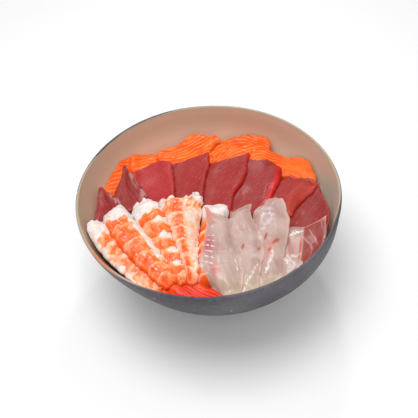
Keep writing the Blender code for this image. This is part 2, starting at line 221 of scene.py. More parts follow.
class Wire:
    """A socket in a material's node tree. Arithmetic on it adds Math nodes."""

    def __init__(self, tree, socket=None):
        self.tree = tree
        self.socket = socket

    def node(self, kind, settings=(), inputs=(), output=0):
        """Adds a node: its settings come first, then the values or links of its sockets."""
        made = self.tree.nodes.new("ShaderNode" + kind)
        for name, value in dict(settings).items():
            setattr(made, name, value)
        for name, value in dict(inputs).items():
            if isinstance(value, Wire):
                self.tree.links.new(value.socket, made.inputs[name])
            else:
                made.inputs[name].default_value = value
        return Wire(self.tree, made.outputs[output])

    def math(self, operation, *values):
        return self.node("Math", {"operation": operation}, dict(enumerate(values)))

    def __add__(self, other):
        return self.math("ADD", self, other)

    def __sub__(self, other):
        return self.math("SUBTRACT", self, other)

    def __rsub__(self, other):
        return self.math("SUBTRACT", other, self)

    def __mul__(self, other):
        return self.math("MULTIPLY", self, other)

    __radd__ = __add__
    __rmul__ = __mul__

    def eased(self, low, high):
        """0 where this is at low or beyond, 1 at high, with a smooth rise between."""
        return self.node("MapRange", {"interpolation_type": "SMOOTHSTEP"},
                         {"Value": self, "From Min": low, "From Max": high})

    def mixed(self, first, second):
        """first where this is 0 and second where it is 1, both colours."""
        return self.node("Mix", {"data_type": "RGBA"}, {0: self, 6: first, 7: second}, 2)

    def tinted(self, low, high, first, second):
        """One paint where this is at low and another where it is at high."""
        return self.eased(low, high).mixed(paint(*first), paint(*second))

    def noise(self, where, scale, detail=3.0, roughness=0.5):
        return self.node("TexNoise", {}, {"Vector": where, "Scale": scale, "Detail": detail,
                                          "Roughness": roughness})

    def kept(self, name, output="Fac"):
        """A value noted on the mesh."""
        return self.node("Attribute", {"attribute_name": name}, {}, output)

    def stretched(self, vector, scale):
        """The vector scaled along each axis."""
        return self.node("VectorMath", {"operation": "MULTIPLY"}, {0: vector, 1: scale})

    def place(self):
        """The position on the piece."""
        return self.node("TexCoord", {}, {}, "Object")

    def bump(self, strength, depth, height):
        """A normal from this relief."""
        return self.node("Bump", {}, {"Strength": strength, "Distance": depth, "Height": height})

    def layered(self, colour, *layers):
        """The colour under more coats: each is a wire, or the name of a value noted on the mesh,
        then its share and its paint."""
        for where, share, shade in layers:
            where = self.kept(where) if isinstance(where, str) else where
            colour = (where * share).mixed(colour, paint(*shade))
        return colour


def new_finish(name):
    """An empty material: its shader node, and a wire to start expressions from."""
    finish = bpy.data.materials.new(name)
    finish.use_nodes = True
    shader = finish.node_tree.nodes["Principled BSDF"]
    return finish, shader, Wire(finish.node_tree)


def wire_up(shader, **links):
    """Plugs wires into the shader's sockets, and sets its plain values."""
    for name, value in links.items():
        socket = shader.inputs[name.replace("_", " ")]
        if isinstance(value, Wire):
            value.tree.links.new(value.socket, socket)
        else:
            socket.default_value = value


def stoneware():
    finish, shader, wire = new_finish("stoneware")
    place = wire.place()
    height = wire.node("SeparateXYZ", {}, {0: place}, "Z")
    cloud = wire.noise(place, 26.0, 4.0)
    fine = wire.noise(place, 420.0, 3.0, 0.6)
    grit = wire.noise(place, 1500.0, 2.0, 0.6)

    def specks(scale, radius, soft, patches, rare):
        cells = wire.node("TexVoronoi", {}, {"Vector": place, "Scale": scale})
        return (radius - cells).eased(0.0, soft) * wire.noise(place, patches, 1.0).eased(rare, 0.6)

    low = cloud.tinted(0.3, 0.7, (222, 186, 160), (228, 194, 170))
    # Painted light: the tan is painted lighter low on the wall, for light thrown onto it by the fish, and
    # darker higher up.
    high = height.eased(50 * MM, 68 * MM)
    # Painted light: the right of the inner wall is painted paler and greyer, as where more light falls on it.
    painted_light_right = (wire.node("SeparateXYZ", {}, {0: place}, "X") * 0.9
            - wire.node("SeparateXYZ", {}, {0: place}, "Y")).eased(-0.06, 0.08)
    rim_band = height.eased(RIM_HEIGHT - 9.0 * MM, RIM_HEIGHT - 1.5 * MM)
    crest = height.eased(RIM_HEIGHT - 1.6 * MM, RIM_HEIGHT - 0.7 * MM)
    iron = specks(55.0, 0.07, 0.025, 38.0, 0.56)
    # Below the lip on one side the wall is painted dark brown, a painted shadow.
    tan = wire.layered(high.mixed(low, paint(190, 161, 138)), (painted_light_right, 0.75, (208, 203, 186)),
                       (rim_band, 0.5, (198, 182, 160)), (crest, 0.8, (166, 148, 128)),
                       ("sauce", 0.85, (74, 34, 22)), (iron, 0.7, (176, 104, 60)))
    slate = wire.layered(cloud.tinted(0.35, 0.65, (72, 69, 76), (98, 94, 100)),
                         (fine.eased(0.5, 0.75), 0.35, (134, 130, 134)),
                         (specks(120.0, 0.13, 0.05, 61.0, 0.54), 0.8, (206, 192, 172)))
    edge = (wire.kept("inside") + (cloud - 0.5) * 0.7).eased(0.42, 0.62)
    # Painted reflection of the prawn: orange-brown on the lip.
    colour = wire.layered(edge.mixed(slate, tan), ("stain", 0.85, (196, 112, 62)))
    wire_up(shader, Base_Color=colour, Roughness=edge * -0.22 + 0.66 + (fine - 0.5) * 0.1,
            Normal=wire.bump(0.25, 0.12 * MM, fine * 0.6 + grit * 0.4), Specular_IOR_Level=0.35)
    return finish


bowl = thrown_bowl(stoneware())
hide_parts("bowl")

# ================================================================ the rice
# Cooked short-grain rice, still warm and moist. It is heaped into the bowl as a low mound and
# carries every slice. Whole grains lie over its top, pressed into the mass beneath.

CROWN_DEPTH = 18.5 * MM
EDGE_DEPTH = 29.5 * MM
CLEAR = 0.3 * MM
GRAIN_LENGTH = 5.6 * MM
GRAIN_WIDTH = 2.5 * MM
GRAIN_COUNT = 2600
GRAIN_TILT = 0.35               # most, in radians
CORE_SINK = 1.6 * MM            # how far the mass lies under the tops of the grains
CORE_LUMP = 0.5 * MM
CORE_RINGS, CORE_TURNS = 30, 96


def bed_height(share):
    """Top of the rice at this share of its radius."""
    return RIM_HEIGHT - (CROWN_DEPTH + (EDGE_DEPTH - CROWN_DEPTH) * share ** 2)


BED_RADIUS = float(wall_radius(INNER, bed_height(1.0), 2 * CLEAR))


def rice_core(finish):
    """The mass of rice under the loose grains."""
    floor = INNER_FLOOR + 2 * CLEAR
    side = [(float(wall_radius(INNER, z, 2 * CLEAR)), z)
            for z in np.linspace(floor, bed_height(1.0) - CORE_SINK, 10)]
    top = [(BED_RADIUS * (1 - i / CORE_RINGS) * 0.995, bed_height(1 - i / CORE_RINGS) - CORE_SINK)
           for i in range(CORE_RINGS + 1)]
    radius, height = np.array([(0.0, floor)] + side + top).T
    angle = np.arange(CORE_TURNS)[:, None] * 2 * math.pi / CORE_TURNS
    x, y = radius * np.cos(angle), radius * np.sin(angle)
    lump = np.where(height > floor + MM, CORE_LUMP * wander(x, y, 5 * MM, 3), 0.0)
    lump = lump * np.minimum(1.0, (BED_RADIUS - radius) / (4 * MM))
    mesh = turned_mesh("rice_core", x + body_shift(height), y, height + lump)
    close_mesh(mesh, join=True)
    return link_piece("rice_core", mesh, finish)


def rice_grains(finish):
    """One mesh of whole grains, evenly spread by the sunflower rule and turned at random."""
    rng = random.Random(11)
    bm = bmesh.new()
    bmesh.ops.create_uvsphere(bm, u_segments=6, v_segments=5, radius=0.5)
    bm.verts.ensure_lookup_table()
    ball = np.array([v.co for v in bm.verts])
    ball_faces = [[v.index for v in face.verts] for face in bm.faces]
    bm.free()
    points, faces, shade = [], [], []
    golden = math.pi * (3 - math.sqrt(5))
    for i in range(GRAIN_COUNT):
        share = math.sqrt((i + 0.5) / GRAIN_COUNT)
        angle = i * golden + rng.uniform(-0.05, 0.05)
        height = bed_height(share) - GRAIN_WIDTH * 0.5 - rng.uniform(0.0, 0.5) * MM
        reach = share * (BED_RADIUS - 2.6 * MM)
        shift = float(body_shift(height))
        centre = Vector((reach * math.cos(angle) + shift, reach * math.sin(angle), height))
        size = (GRAIN_LENGTH * rng.uniform(0.85, 1.1), GRAIN_WIDTH * rng.uniform(0.85, 1.0),
                GRAIN_WIDTH * rng.uniform(0.75, 0.95))
        turn = (Matrix.Rotation(rng.uniform(0, 2 * math.pi), 3, "Z")
                @ Matrix.Rotation(rng.uniform(-GRAIN_TILT, GRAIN_TILT), 3, "Y"))
        grain = (ball * np.array(size)) @ np.array(turn).T + np.array(centre)
        start = len(points)
        points += grain.tolist()
        faces += [[start + k for k in face] for face in ball_faces]
        shade += [rng.random()] * len(ball)
    mesh = bpy.data.meshes.new("rice_grains")
    mesh.from_pydata(points, [], faces)
    note(mesh, shade=np.array(shade))
    return link_piece("rice_grains", mesh, finish)


def cooked_rice():
    finish, shader, wire = new_finish("cooked_rice")
    cloud = wire.noise(wire.place(), 900.0, 2.0)
    colour = (wire.kept("shade") * 0.7 + cloud * 0.3).mixed(paint(226, 219, 200), paint(246, 243, 234))
    wire_up(shader, Base_Color=colour, Roughness=0.36, Normal=wire.bump(0.2, 0.1 * MM, cloud),
            Subsurface_Weight=0.35, Subsurface_Radius=(1.0, 0.9, 0.7), Subsurface_Scale=1.0 * MM,
            Coat_Weight=0.2, Coat_Roughness=0.25)
    return finish


rice_finish = cooked_rice()
core = rice_core(rice_finish)
grains = rice_grains(rice_finish)
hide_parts("rice_bed")

# ================================================================ the salmon
# Five slices of raw salmon, cut across the grain and laid along the far wall, each partly over
# its neighbour. The flesh is orange between pale lines of fat, and it shines with its own oil.

FISH_GRID = (6, 9)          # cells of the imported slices, across and along
FISH_CELL = 0.42 * MM       # spacing of the fine mesh
COARSER = 4                 # the hidden underside has every fourth point
RIM_STEPS = (0.0, 0.06, 0.18, 0.38, 0.68)   # millimetres from the rim to the first points
SIDE_STEPS = (0.35, 0.75)   # shares of the way down a cut side where it has points
WALL_SOFT = 0.03            # share of the wall's radius over which points are drawn in
CONTACT = 0.12 * MM         # gap between a piece and what it lies on
MOST_SAG = 5 * MM
LEANS_FROM, LEANS_OVER = 0.88, 0.08     # near the wall, in shares of its radius, pieces don't sag
CUT_BULGE = 0.12 * MM       # how far the cut sides bulge out
NICK_REACH, HANG_REACH = 2.5, 1.5   # millimetres in from the rim


def smooth_curve(values, shares):
    """A smooth curve through evenly spaced values, read at shares from 0 to 1."""
    values = np.asarray(values, dtype=float)
    ends = np.concatenate([2 * values[:1] - values[1:2], values, 2 * values[-1:] - values[-2:-1]])
    at = np.clip(shares, 0, 1) * (len(values) - 1)
    first = np.minimum(at.astype(int), len(values) - 2)
    t = (at - first).reshape(at.shape + (1,) * (values.ndim - 1))
    a, b, c, d = (ends[first + k] for k in range(4))
    return 0.5 * (2 * b + (c - a) * t + (2 * a - 5 * b + 4 * c - d) * t ** 2
                  + (3 * b - a - 3 * c + d) * t ** 3)


def inside_wall(plan, z):
    """Plan points drawn in towards the bowl's axis, softly, where they would reach the wall."""
    centre = np.stack([body_shift(z), 0 * z], axis=-1)
    out = plan - centre
    reach = np.linalg.norm(out, axis=-1)
    limit = wall_radius(INNER, np.minimum(z, RIM_HEIGHT), 2 * CLEAR)
    soft = WALL_SOFT * limit
    start = limit - soft
    drawn = start + soft * (1 - np.exp(-np.maximum(reach - start, 0) / soft))
    scale = np.where(reach > start, drawn / np.maximum(reach, 1e-6), 1.0)
    return out * scale[..., None] + centre


class Landscape:
    """The height of everything laid so far, over an even square grid in plan."""
    reach, cell = 95 * MM, 0.5 * MM

    def __init__(self):
        axis = np.arange(-self.reach, self.reach, self.cell)
        x, y = np.meshgrid(axis, axis, indexing="ij")
        wall = np.full(x.shape, 60 * MM)        # a first guess
        sphere, rise = INNER
        for _ in range(4):
            away = (x - body_shift(wall)) ** 2 + y ** 2
            wall = RIM_HEIGHT + rise - np.sqrt(np.maximum(sphere ** 2 - away, 0))
        share = np.hypot(x - body_shift(wall), y) / BED_RADIUS
        self.height = np.where(share < 1, bed_height(np.minimum(share, 1)), wall)

    def spots(self, points):
        count = len(self.height) - 1
        return tuple(np.clip(np.rint((points[..., k] + self.reach) / self.cell).astype(int), 0, count)
                     for k in (0, 1))

    def below(self, plan, steps=(12, 8, 5, 3, 2, 1)):
        """A soft sheet over these plan points: it rests on what is highest and bridges the gaps."""
        ground = self.height[self.spots(plan)]
        rest = ground
        for step in steps * 2:
            for _ in range(4):
                wide = np.pad(rest, step, mode="edge")
                rest = np.maximum(ground, (wide[2 * step:, step:-step] + wide[:-2 * step, step:-step]
                                           + wide[step:-step, 2 * step:] + wide[step:-step, :-2 * step]) / 4)
        return rest + CONTACT

    def add(self, points):
        np.maximum.at(self.height, self.spots(points), points[..., 2])


landscape = Landscape()


def quad_outline(corners, bulges):
    """Maps u, left to right, and v, near to far, to a four-sided outline whose sides bow out.

    corners: far left, far right, near right, near left. bulges: how far the far, right, near and
    left side bow out at even places along them, far to near or left to right.
    """
    far_left, far_right, near_right, near_left = (np.array(c) * MM for c in corners)
    centre = (far_left + far_right + near_right + near_left) / 4

    def bowed(a, b, share, bulge):
        along = b - a
        out = np.array([along[1], -along[0]]) / np.linalg.norm(along)
        if np.dot(out, (a + b) / 2 - centre) < 0:
            out = -out
        bow = smooth_curve((0,) + bulge + (0,), share)[..., None]
        return a + along * share[..., None] + out * bow * MM

    def mapped(u, v):
        far = bowed(far_left, far_right, u, bulges[0])
        right = bowed(far_right, near_right, 1 - v, bulges[1])
        near = bowed(near_left, near_right, u, bulges[2])
        left = bowed(far_left, near_left, 1 - v, bulges[3])
        u, v = u[..., None], v[..., None]
        straight = ((1 - u) * (1 - v) * near_left + u * (1 - v) * near_right
                    + (1 - u) * v * far_left + u * v * far_right)
        return (1 - v) * near + v * far + (1 - u) * left + u * right - straight

    return mapped


def underside(node, outline, shares_u, shares_v, grid):
    """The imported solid's underside, read at a few places of the outline and smooth between them."""
    solid = BVHTree.FromObject(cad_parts[node], bpy.context.evaluated_depsgraph_get())
    v, u = np.meshgrid(np.linspace(0, 1, grid[1] + 1), np.linspace(0, 1, grid[0] + 1), indexing="ij")
    plan = inside_wall(outline(u, v), np.full(u.shape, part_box(node)[0].z + 2 * MM))
    middle = plan[grid[1] // 2, grid[0] // 2]
    heights = np.zeros(u.shape)
    for place in np.ndindex(u.shape):
        for share in np.linspace(0.995, 0.0, 60):       # inwards until the solid is met
            x, y = middle + (plan[place] - middle) * share
            hit = solid.ray_cast(Vector((x, y, -1.0)), Vector((0, 0, 1)))[0]
            if hit:
                heights[place] = hit.z
                break
    return smooth_curve(smooth_curve(heights, shares_v).T, shares_u).T


def rim_shares(length):
    """Shares from 0 to 1 along this length, a cell apart and closer together along the two rims."""
    near_rim = np.array(RIM_STEPS) * MM / length
    inner = max(COARSER, round((length * (1 - 2 * near_rim[-1])) / FISH_CELL))
    while (inner + 2 * (len(near_rim) - 1)) % COARSER:
        inner += 1
    middle = np.linspace(near_rim[-1], 1 - near_rim[-1], inner + 1)
    return np.concatenate([near_rim[:-1], middle, (1 - near_rim[:-1])[::-1]])


def grid_faces(number):
    """The faces between these numbered points, rows by columns."""
    corners = (number[:-1, :-1], number[:-1, 1:], number[1:, 1:], number[1:, :-1])
    return np.stack(corners, -1).reshape(-1, 4).tolist()


def sheet_mesh(name, top, low):
    """A closed mesh from the points of a fine top sheet and of its underside, made coarser.

    Also returns the row and column that each vertex comes from, and 0 on the top, 1 on the side
    or 2 on the underside.
    """
    rows, columns = top.shape[:2]
    number = np.arange(rows * columns).reshape(rows, columns)
    rim = ([(0, c) for c in range(columns - 1)] + [(r, columns - 1) for r in range(rows - 1)]
           + [(rows - 1, c) for c in range(columns - 1, 0, -1)] + [(r, 0) for r in range(rows - 1, 0, -1)])
    rim_rows, rim_columns = np.array(rim).T
    high, deep = top[rim_rows, rim_columns], low[rim_rows, rim_columns]
    after, before = np.roll(deep, -1, axis=0), np.roll(deep, 1, axis=0)
    out = np.stack([(after - before)[:, 1], -(after - before)[:, 0], 0 * after[:, 0]], -1)
    out /= np.maximum(np.linalg.norm(out, axis=1), 1e-9)[:, None]
    points = [top.reshape(-1, 3)]
    faces = grid_faces(number)
    ring = number[rim_rows, rim_columns]
    origin = [(r, c, 0.0) for r in range(rows) for c in range(columns)]
    size = rows * columns
    for share in SIDE_STEPS:
        points.append(high + (deep - high) * share + out * CUT_BULGE * math.sin(math.pi * share))
        fresh = size + np.arange(len(rim))
        faces += np.stack([ring, fresh, np.roll(fresh, -1), np.roll(ring, -1)], -1).tolist()
        origin += [(r, c, 1.0) for r, c in rim]
        ring, size = fresh, size + len(rim)
    coarse_rows, coarse_columns = np.arange(0, rows, COARSER), np.arange(0, columns, COARSER)
    coarse = low[np.ix_(coarse_rows, coarse_columns)]
    points.append(coarse.reshape(-1, 3))
    under = size + np.arange(coarse.shape[0] * coarse.shape[1]).reshape(coarse.shape[:2])
    origin += [(r, c, 2.0) for r in coarse_rows for c in coarse_columns]
    faces += grid_faces(under.T)
    place_of = {place: i for i, place in enumerate(rim)}
    corner_ids = [place_of[(r, c)] for r, c in rim if r % COARSER == 0 and c % COARSER == 0]
    for start, end in zip(corner_ids, corner_ids[1:] + [corner_ids[0] + len(rim)]):
        span = [ring[k % len(rim)] for k in range(start, end + 1)]
        below = [under[r // COARSER, c // COARSER] for r, c in (rim[start], rim[end % len(rim)])]
        faces.append([int(k) for k in span[::-1] + below])
    mesh = bpy.data.meshes.new(name)
    mesh.from_pydata(np.concatenate(points).tolist(), [], faces)
    close_mesh(mesh)
    return mesh, np.array(origin)


class Spread:
    """Where each point of a fine sheet is: shares u, v; plan x, y, width, length, the distance
    from the rim and the lift, all in millimetres; and the piece's name and own number."""

    def wander(self, size, field):
        """One of the piece's own random fields over the plan."""
        return wander(self.x, self.y, size, self.seed + field)


def lay_piece(name, outline, body, finish, ragged, fray, node=None, grid=FISH_GRID,
              round_edge=0.9, bluff=0.42, droop=4.5, skirt=0.0):
    """A fine piece over the plan outline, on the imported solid's own underside or on what is below.

    body(spread) gives the thickness in millimetres, with its relief, and a dictionary of the
    values that the material reads. ragged and fray are the depth and size of the rim's nicks.
    The rim is rounded off over round_edge, and bluff is the share of the thickness that stands
    at the very rim. droop is how far in from a free rim the piece sags onto what lies below, and
    its cut edge hangs down by up to skirt. All but bluff are in millimetres.
    """
    half = np.array([0.5])
    width = float(np.linalg.norm(outline(half * 2, half) - outline(half * 0, half)))
    length = float(np.linalg.norm(outline(half, half * 2) - outline(half, half * 0)))
    shares_u, shares_v = rim_shares(width), rim_shares(length)
    v, u = np.meshgrid(shares_v, shares_u, indexing="ij")
    plan = outline(u, v)
    at = Spread()
    at.name, at.seed = name, sum(ord(letter) for letter in name)
    at.u, at.v, at.lift = u, v, 0.0
    at.width, at.length = width / MM, length / MM
    at.margin = np.minimum(np.minimum(u, 1 - u) * at.width, np.minimum(v, 1 - v) * at.length)
    at.x, at.y = plan[..., 0] / MM, plan[..., 1] / MM
    nicks = [at.wander(fray, k) for k in (1, 2)]
    plan = plan + np.exp(-at.margin / NICK_REACH)[..., None] * ragged * MM * np.stack(nicks, -1)
    if node:
        held = underside(node, outline, shares_u, shares_v, grid)
        there = inside_wall(plan, held)
        rest = landscape.below(there)
        rest = rest + (landscape.below(there, (2, 1)) - rest) * np.exp(-at.margin / (0.45 * droop))
        wall = wall_radius(INNER, held, 2 * CLEAR)
        reach = np.hypot(there[..., 0] - body_shift(held), there[..., 1]) / wall
        gap = np.clip(held - rest, 0, MOST_SAG) * (1 - eased((reach - LEANS_FROM) / LEANS_OVER))
        heights = np.maximum(held - gap * np.exp(-at.margin / droop), rest)
    else:
        rest = heights = landscape.below(inside_wall(plan, np.full(u.shape, RIM_HEIGHT - 10 * MM)))
    thick, marks = body(at)
    heights = heights + at.lift * MM
    inward = np.clip(1 - at.margin / round_edge, 0, 1)
    thick = thick * MM * (bluff + (1 - bluff) * np.sqrt(1 - inward ** 2))
    hung = heights - np.clip(heights - rest, 0, skirt * MM) * np.exp(-at.margin / HANG_REACH)
    low = np.concatenate([inside_wall(plan, heights), hung[..., None]], -1)
    top = np.concatenate([inside_wall(plan, heights + thick), (heights + thick)[..., None]], -1)
    landscape.add(top)
    mesh, origin = sheet_mesh(name + "_flesh", top, low)
    r, c = origin[:, 0].astype(int), origin[:, 1].astype(int)
    note(mesh, side=origin[:, 2], margin=at.margin[r, c], **{k: m[r, c] for k, m in marks.items()})
    piece = link_piece(name + "_flesh", mesh, finish)
    if node:
        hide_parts(node)


def along_across(x, y, turn):
    """How far places lie along a line at this angle in degrees, and how far to its left."""
    turn = math.radians(turn)
    return x * math.cos(turn) + y * math.sin(turn), y * math.cos(turn) - x * math.sin(turn)


def slice_body(at, full, edge, ripple, waves, lean, shoulder):
    """Thickness of a slice: full inside, thinner at its rim, with slow ripples along it."""
    body = edge + (full - edge) * eased(at.margin / shoulder)
    return body + ripple * np.sin(waves * math.pi * (at.v + lean * at.u)) * eased(at.margin / shoulder)


# Corners in plan, in millimetres, and how far the sides bow out. The lines of fat lie apart by a
# spacing; they start from a place, run at an angle in degrees, bend, and fork into nested points
# or fan out. Last, humps of the flesh as (x, y, half length, half width, height), and how far
# the far left and the far right corner are lifted, most of them where they lean on the wall.
SALMON = {
    "salmon_1": (((-66, 57), (-50, 55), (-52, 14), (-79, 21)), ((3,), (0,), (0,), (2, 3.5, 3)),
                 dict(start=(-66, 33), turn=14, spacing=4.2, bend=-0.016), (), (2.5, 0)),
    "salmon_2": (((-58, 59), (-34, 64), (-26, 36), (-54, 28)), ((3.5, 3.5, 1), (0,), (0,), (1,)),
                 dict(start=(-42, 49), turn=47, spacing=3.1, fork=3.2, bend=-0.006), (), (-3.5, 0)),
    "salmon_4": (((4, 66), (50, 68), (46, 32), (2, 36)), ((4.5, 6.5, 6, 4.5), (2, 0), (0,), (2, 2)),
                 dict(start=(28, 62.9), turn=9, spacing=3.1, fork=3.4, bend=-0.022), (), (1, 2)),
    "salmon_5": (((35, 52), (77, 38), (77, 15), (31, 36)), ((4, 5.5, 4.5, 3.5), (2,), (0,), (1,)),
                 dict(start=(42, 44), turn=0, spacing=3.3, bend=-0.0195, fan=0.012), (), (0, -0.5)),
    "salmon_3": (((-36, 60), (13, 66), (9, 40), (-32, 38)), ((5, 8, 12.5, 9), (-6, -6), (0,), (1,)),
                 dict(start=(-5, 52), turn=24, spacing=3.4, bend=0.004),
                 ((-12, 71, 6, 5, 2.2), (-1, 73, 7, 5, 3.0), (9, 66, 6, 4, 1.5)), (1, 1)),
}
FAT_GROOVE = 0.30


def fat_lines(at, start, turn, spacing, bend, fork=0.0, fan=0.0):
    """1 along the middle of each line of fat and 0 midway between two."""
    p, q = along_across(at.x - start[0], at.y - start[1], turn)
    q = q - bend * p ** 2
    if fork:
        field = (p + fork * np.sqrt(q ** 2 + 1.2)) / math.sqrt(1 + fork ** 2)
    else:
        field = q / np.maximum(1 - fan * p, 0.3)
    field = field / spacing + 0.2 * at.wander(9.0, 0)
    firm = eased(0.75 + 0.4 * at.wander(6.0, 2))
    return (0.5 + 0.5 * np.cos(2 * math.pi * field)) * (0.65 + 0.35 * firm)


def salmon_body(lines, humps, lifts):
    def body(at):
        wave = fat_lines(at, **lines)
        thick = slice_body(at, full=4.8, edge=2.6, ripple=0.15, waves=7, lean=0.6, shoulder=3.0)
        for x, y, long, wide, height in humps:
            thick = thick + height * np.exp(-((at.x - x) / long) ** 2 - ((at.y - y) / wide) ** 2)
        at.lift = (lifts[0] * (1 - at.u) + lifts[1] * at.u) * eased(at.v)
        soft = 0.35 * at.wander(8.0, 5) * eased(at.margin / 3)
        torn = eased((at.wander(3.2, 9) - 0.15) / 0.8) * np.exp(-at.margin / 2.2)
        groove = FAT_GROOVE * (1 - eased((wave - 0.1) / 0.9)) * (0.5 + 0.5 * eased(at.margin / 2))
        return thick + soft + groove + 0.5 * torn, {"fat": wave, "torn": torn}
    return body


def salmon_flesh():
    finish, shader, wire = new_finish("salmon_flesh")
    cloud = wire.noise(wire.place(), 110.0, 3.0)
    fine = wire.noise(wire.place(), 700.0, 3.0, 0.6)
    line = (wire.kept("fat") + (cloud - 0.5) * 0.3).eased(0.4, 0.95)
    thin = (1.1 - wire.kept("margin")).eased(0.0, 1.1)
    colour = wire.layered(cloud.tinted(0.3, 0.7, (246, 80, 5), (251, 102, 14)), (line, 0.45, (255, 160, 92)),
                          (thin, 0.5, (236, 128, 34)), ("torn", 0.45, (252, 168, 116)))
    wire_up(shader, Base_Color=colour, Roughness=0.34 + cloud * 0.12,
            Normal=wire.bump(0.25, 0.2 * MM, fine), Subsurface_Weight=0.2,
            Subsurface_Radius=(1.0, 0.3, 0.12), Subsurface_Scale=1.2 * MM, Specular_IOR_Level=0.12,
            Coat_Weight=0.2, Coat_Roughness=0.1)
    return finish


salmon_finish = salmon_flesh()
for name, (corners, bulges, *look) in SALMON.items():
    lay_piece(name, quad_outline(corners, bulges), salmon_body(*look), salmon_finish,
              node=name, ragged=0.6, fray=2.6)

# ================================================================ the tuna
# Nine slices of lean tuna, cut from one block and laid in a fan across the bowl. The flesh is
# deep red with a fine slanting grain, and its cut edges are darker than its face.

# Outlines as for the salmon, then how far in from its edges the slice sags onto what lies below.
# turn: the angle of the grain in degrees. cut: the width of the cut face that slopes down along
# the right side. glisten: how much painted sheen its face has. tone: from brown, 0, to bright red, 1.
# amber: how far in from the right side it shines amber. silver: how silvery its right edge is.
# thin: how much thinner it is there. All lengths are in millimetres.
TUNA = {
    "tuna_9": (((-76, -22), (-54, -24), (-38, -60), (-58, -54)), ((0,), (0,), (2,), (3,)),
               1.2, dict(turn=60, cut=2, glisten=0.2, tone=0.0)),
    "tuna_8": (((57, 8), (79, 11), (73, -40), (50, -36)), ((0,), (2, 4.2, 5.7, 5, 2.5), (0,), (0,)),
               1.2, dict(turn=50, cut=0.6, glisten=0.3, tone=0.0)),
    "tuna_7": (((50, 20), (79, 13), (56, -15), (32, -12)),
               ((5, 5.5, 5, 4.5), (1.3, -0.8, -1.6), (0,), (2, 0)),
               9.0, dict(turn=35, cut=0.6, glisten=0.6, tone=0.4, amber=20.0, thin=1.7)),
    "tuna_6": (((25, 30), (55, 30), (34, -14), (10, -12)),
               ((5.5, 5, 4.2, 3.6), (2.5, 2.3, 3), (0,), (2, 0)),
               1.2, dict(turn=35, cut=7.0, glisten=0.15, tone=0.2)),
    "tuna_5": (((-2, 37), (33, 45), (14, -14), (-10, -10)),
               ((-1.5, -0.5, 0, 0.5), (0.5, 2.2, 0.5, -1.9, -1), (0,), (0,)),
               3.0, dict(turn=30, cut=1.6, glisten=0.5, tone=0.35)),
    "tuna_4": (((-29, 37), (3, 46.5), (-3, -8), (-28, -8)),
               ((1.8, 2.5, 2.8, 1.5), (0.8, -0.8, -1.4, -1.5), (0,), (0,)),
               1.8, dict(turn=42, cut=0.8, glisten=0.4, tone=0.45)),
    "tuna_3": (((-57, 30), (-24, 37.5), (-23, -4), (-44, -8)),
               ((3, 6.4, 9.2, 8.3), (0.5, 0.3), (0,), (2,)),
               1.2, dict(turn=55, cut=0.7, glisten=1.0, tone=1.0)),
    "tuna_2": (((-60, 40), (-58, 42), (-40, 2), (-66, -8)), ((0,), (-1.2, 0.2, 2), (0,), (0.7, 3.5, 3)),
               1.2, dict(turn=110, cut=3, glisten=0.1, tone=0.0, silver=0.75)),
    "tuna_1": (((-77, 19), (-75, 21), (-54, -12), (-80, -17)), ((0,), (2, 3.5, 2), (0,), (0,)),
               1.2, dict(turn=110, cut=3, glisten=0.3, tone=0.05, silver=1.0)),
}
GRAIN_SPACING = 2.6
CUT_FALL, THIN_REACH = 1.8, 9       # how far the cut face slopes down; how far in a slice is thinned


def tuna_body(turn, cut, glisten, tone, amber=0.0, silver=0.0, thin=0.0):
    def body(at):
        p, q = along_across(at.x, at.y, turn)
        thick = slice_body(at, full=3.6, edge=3.1, ripple=0.08, waves=5, lean=0.3, shoulder=1.3)
        inward = (1 - at.u) * at.width
        face = 1 - eased(inward / cut)
        thick = thick - CUT_FALL * face * min(1.0, cut / 5) - thin * (1 - eased(inward / THIN_REACH))
        glint = silver * bell(inward, 2.2, 2.0) * eased(0.4 + wander(p * 0.3, q, 1.6, at.seed + 6))
        across = q / GRAIN_SPACING + 0.35 * at.wander(11.0, 3)
        sinew = eased((np.cos(2 * math.pi * across) - 0.90) / 0.10)
        sinew = sinew * eased(0.5 + 0.8 * wander(p, q, 4.0, at.seed + 8))
        # Painted sheen: where this is high, pale specks stand in for wet reflections on the face.
        painted_sheen = eased(0.35 + 0.7 * at.wander(6.0, 11))
        marks = {"grain": np.stack([p, q, np.full(p.shape, at.seed)], -1), "face": face * (1 - silver),
                 "sinew": sinew * (1 - face), "painted_sheen": painted_sheen * glisten, "silver": glint,
                 "tone": np.full(p.shape, tone), "amber": eased(1 - inward / (amber + 0.01))}
        soft = 0.12 * at.wander(9.0, 5)
        return thick + soft * eased(at.margin / 3) + 0.07 * sinew + 0.15 * glint, marks
    return body


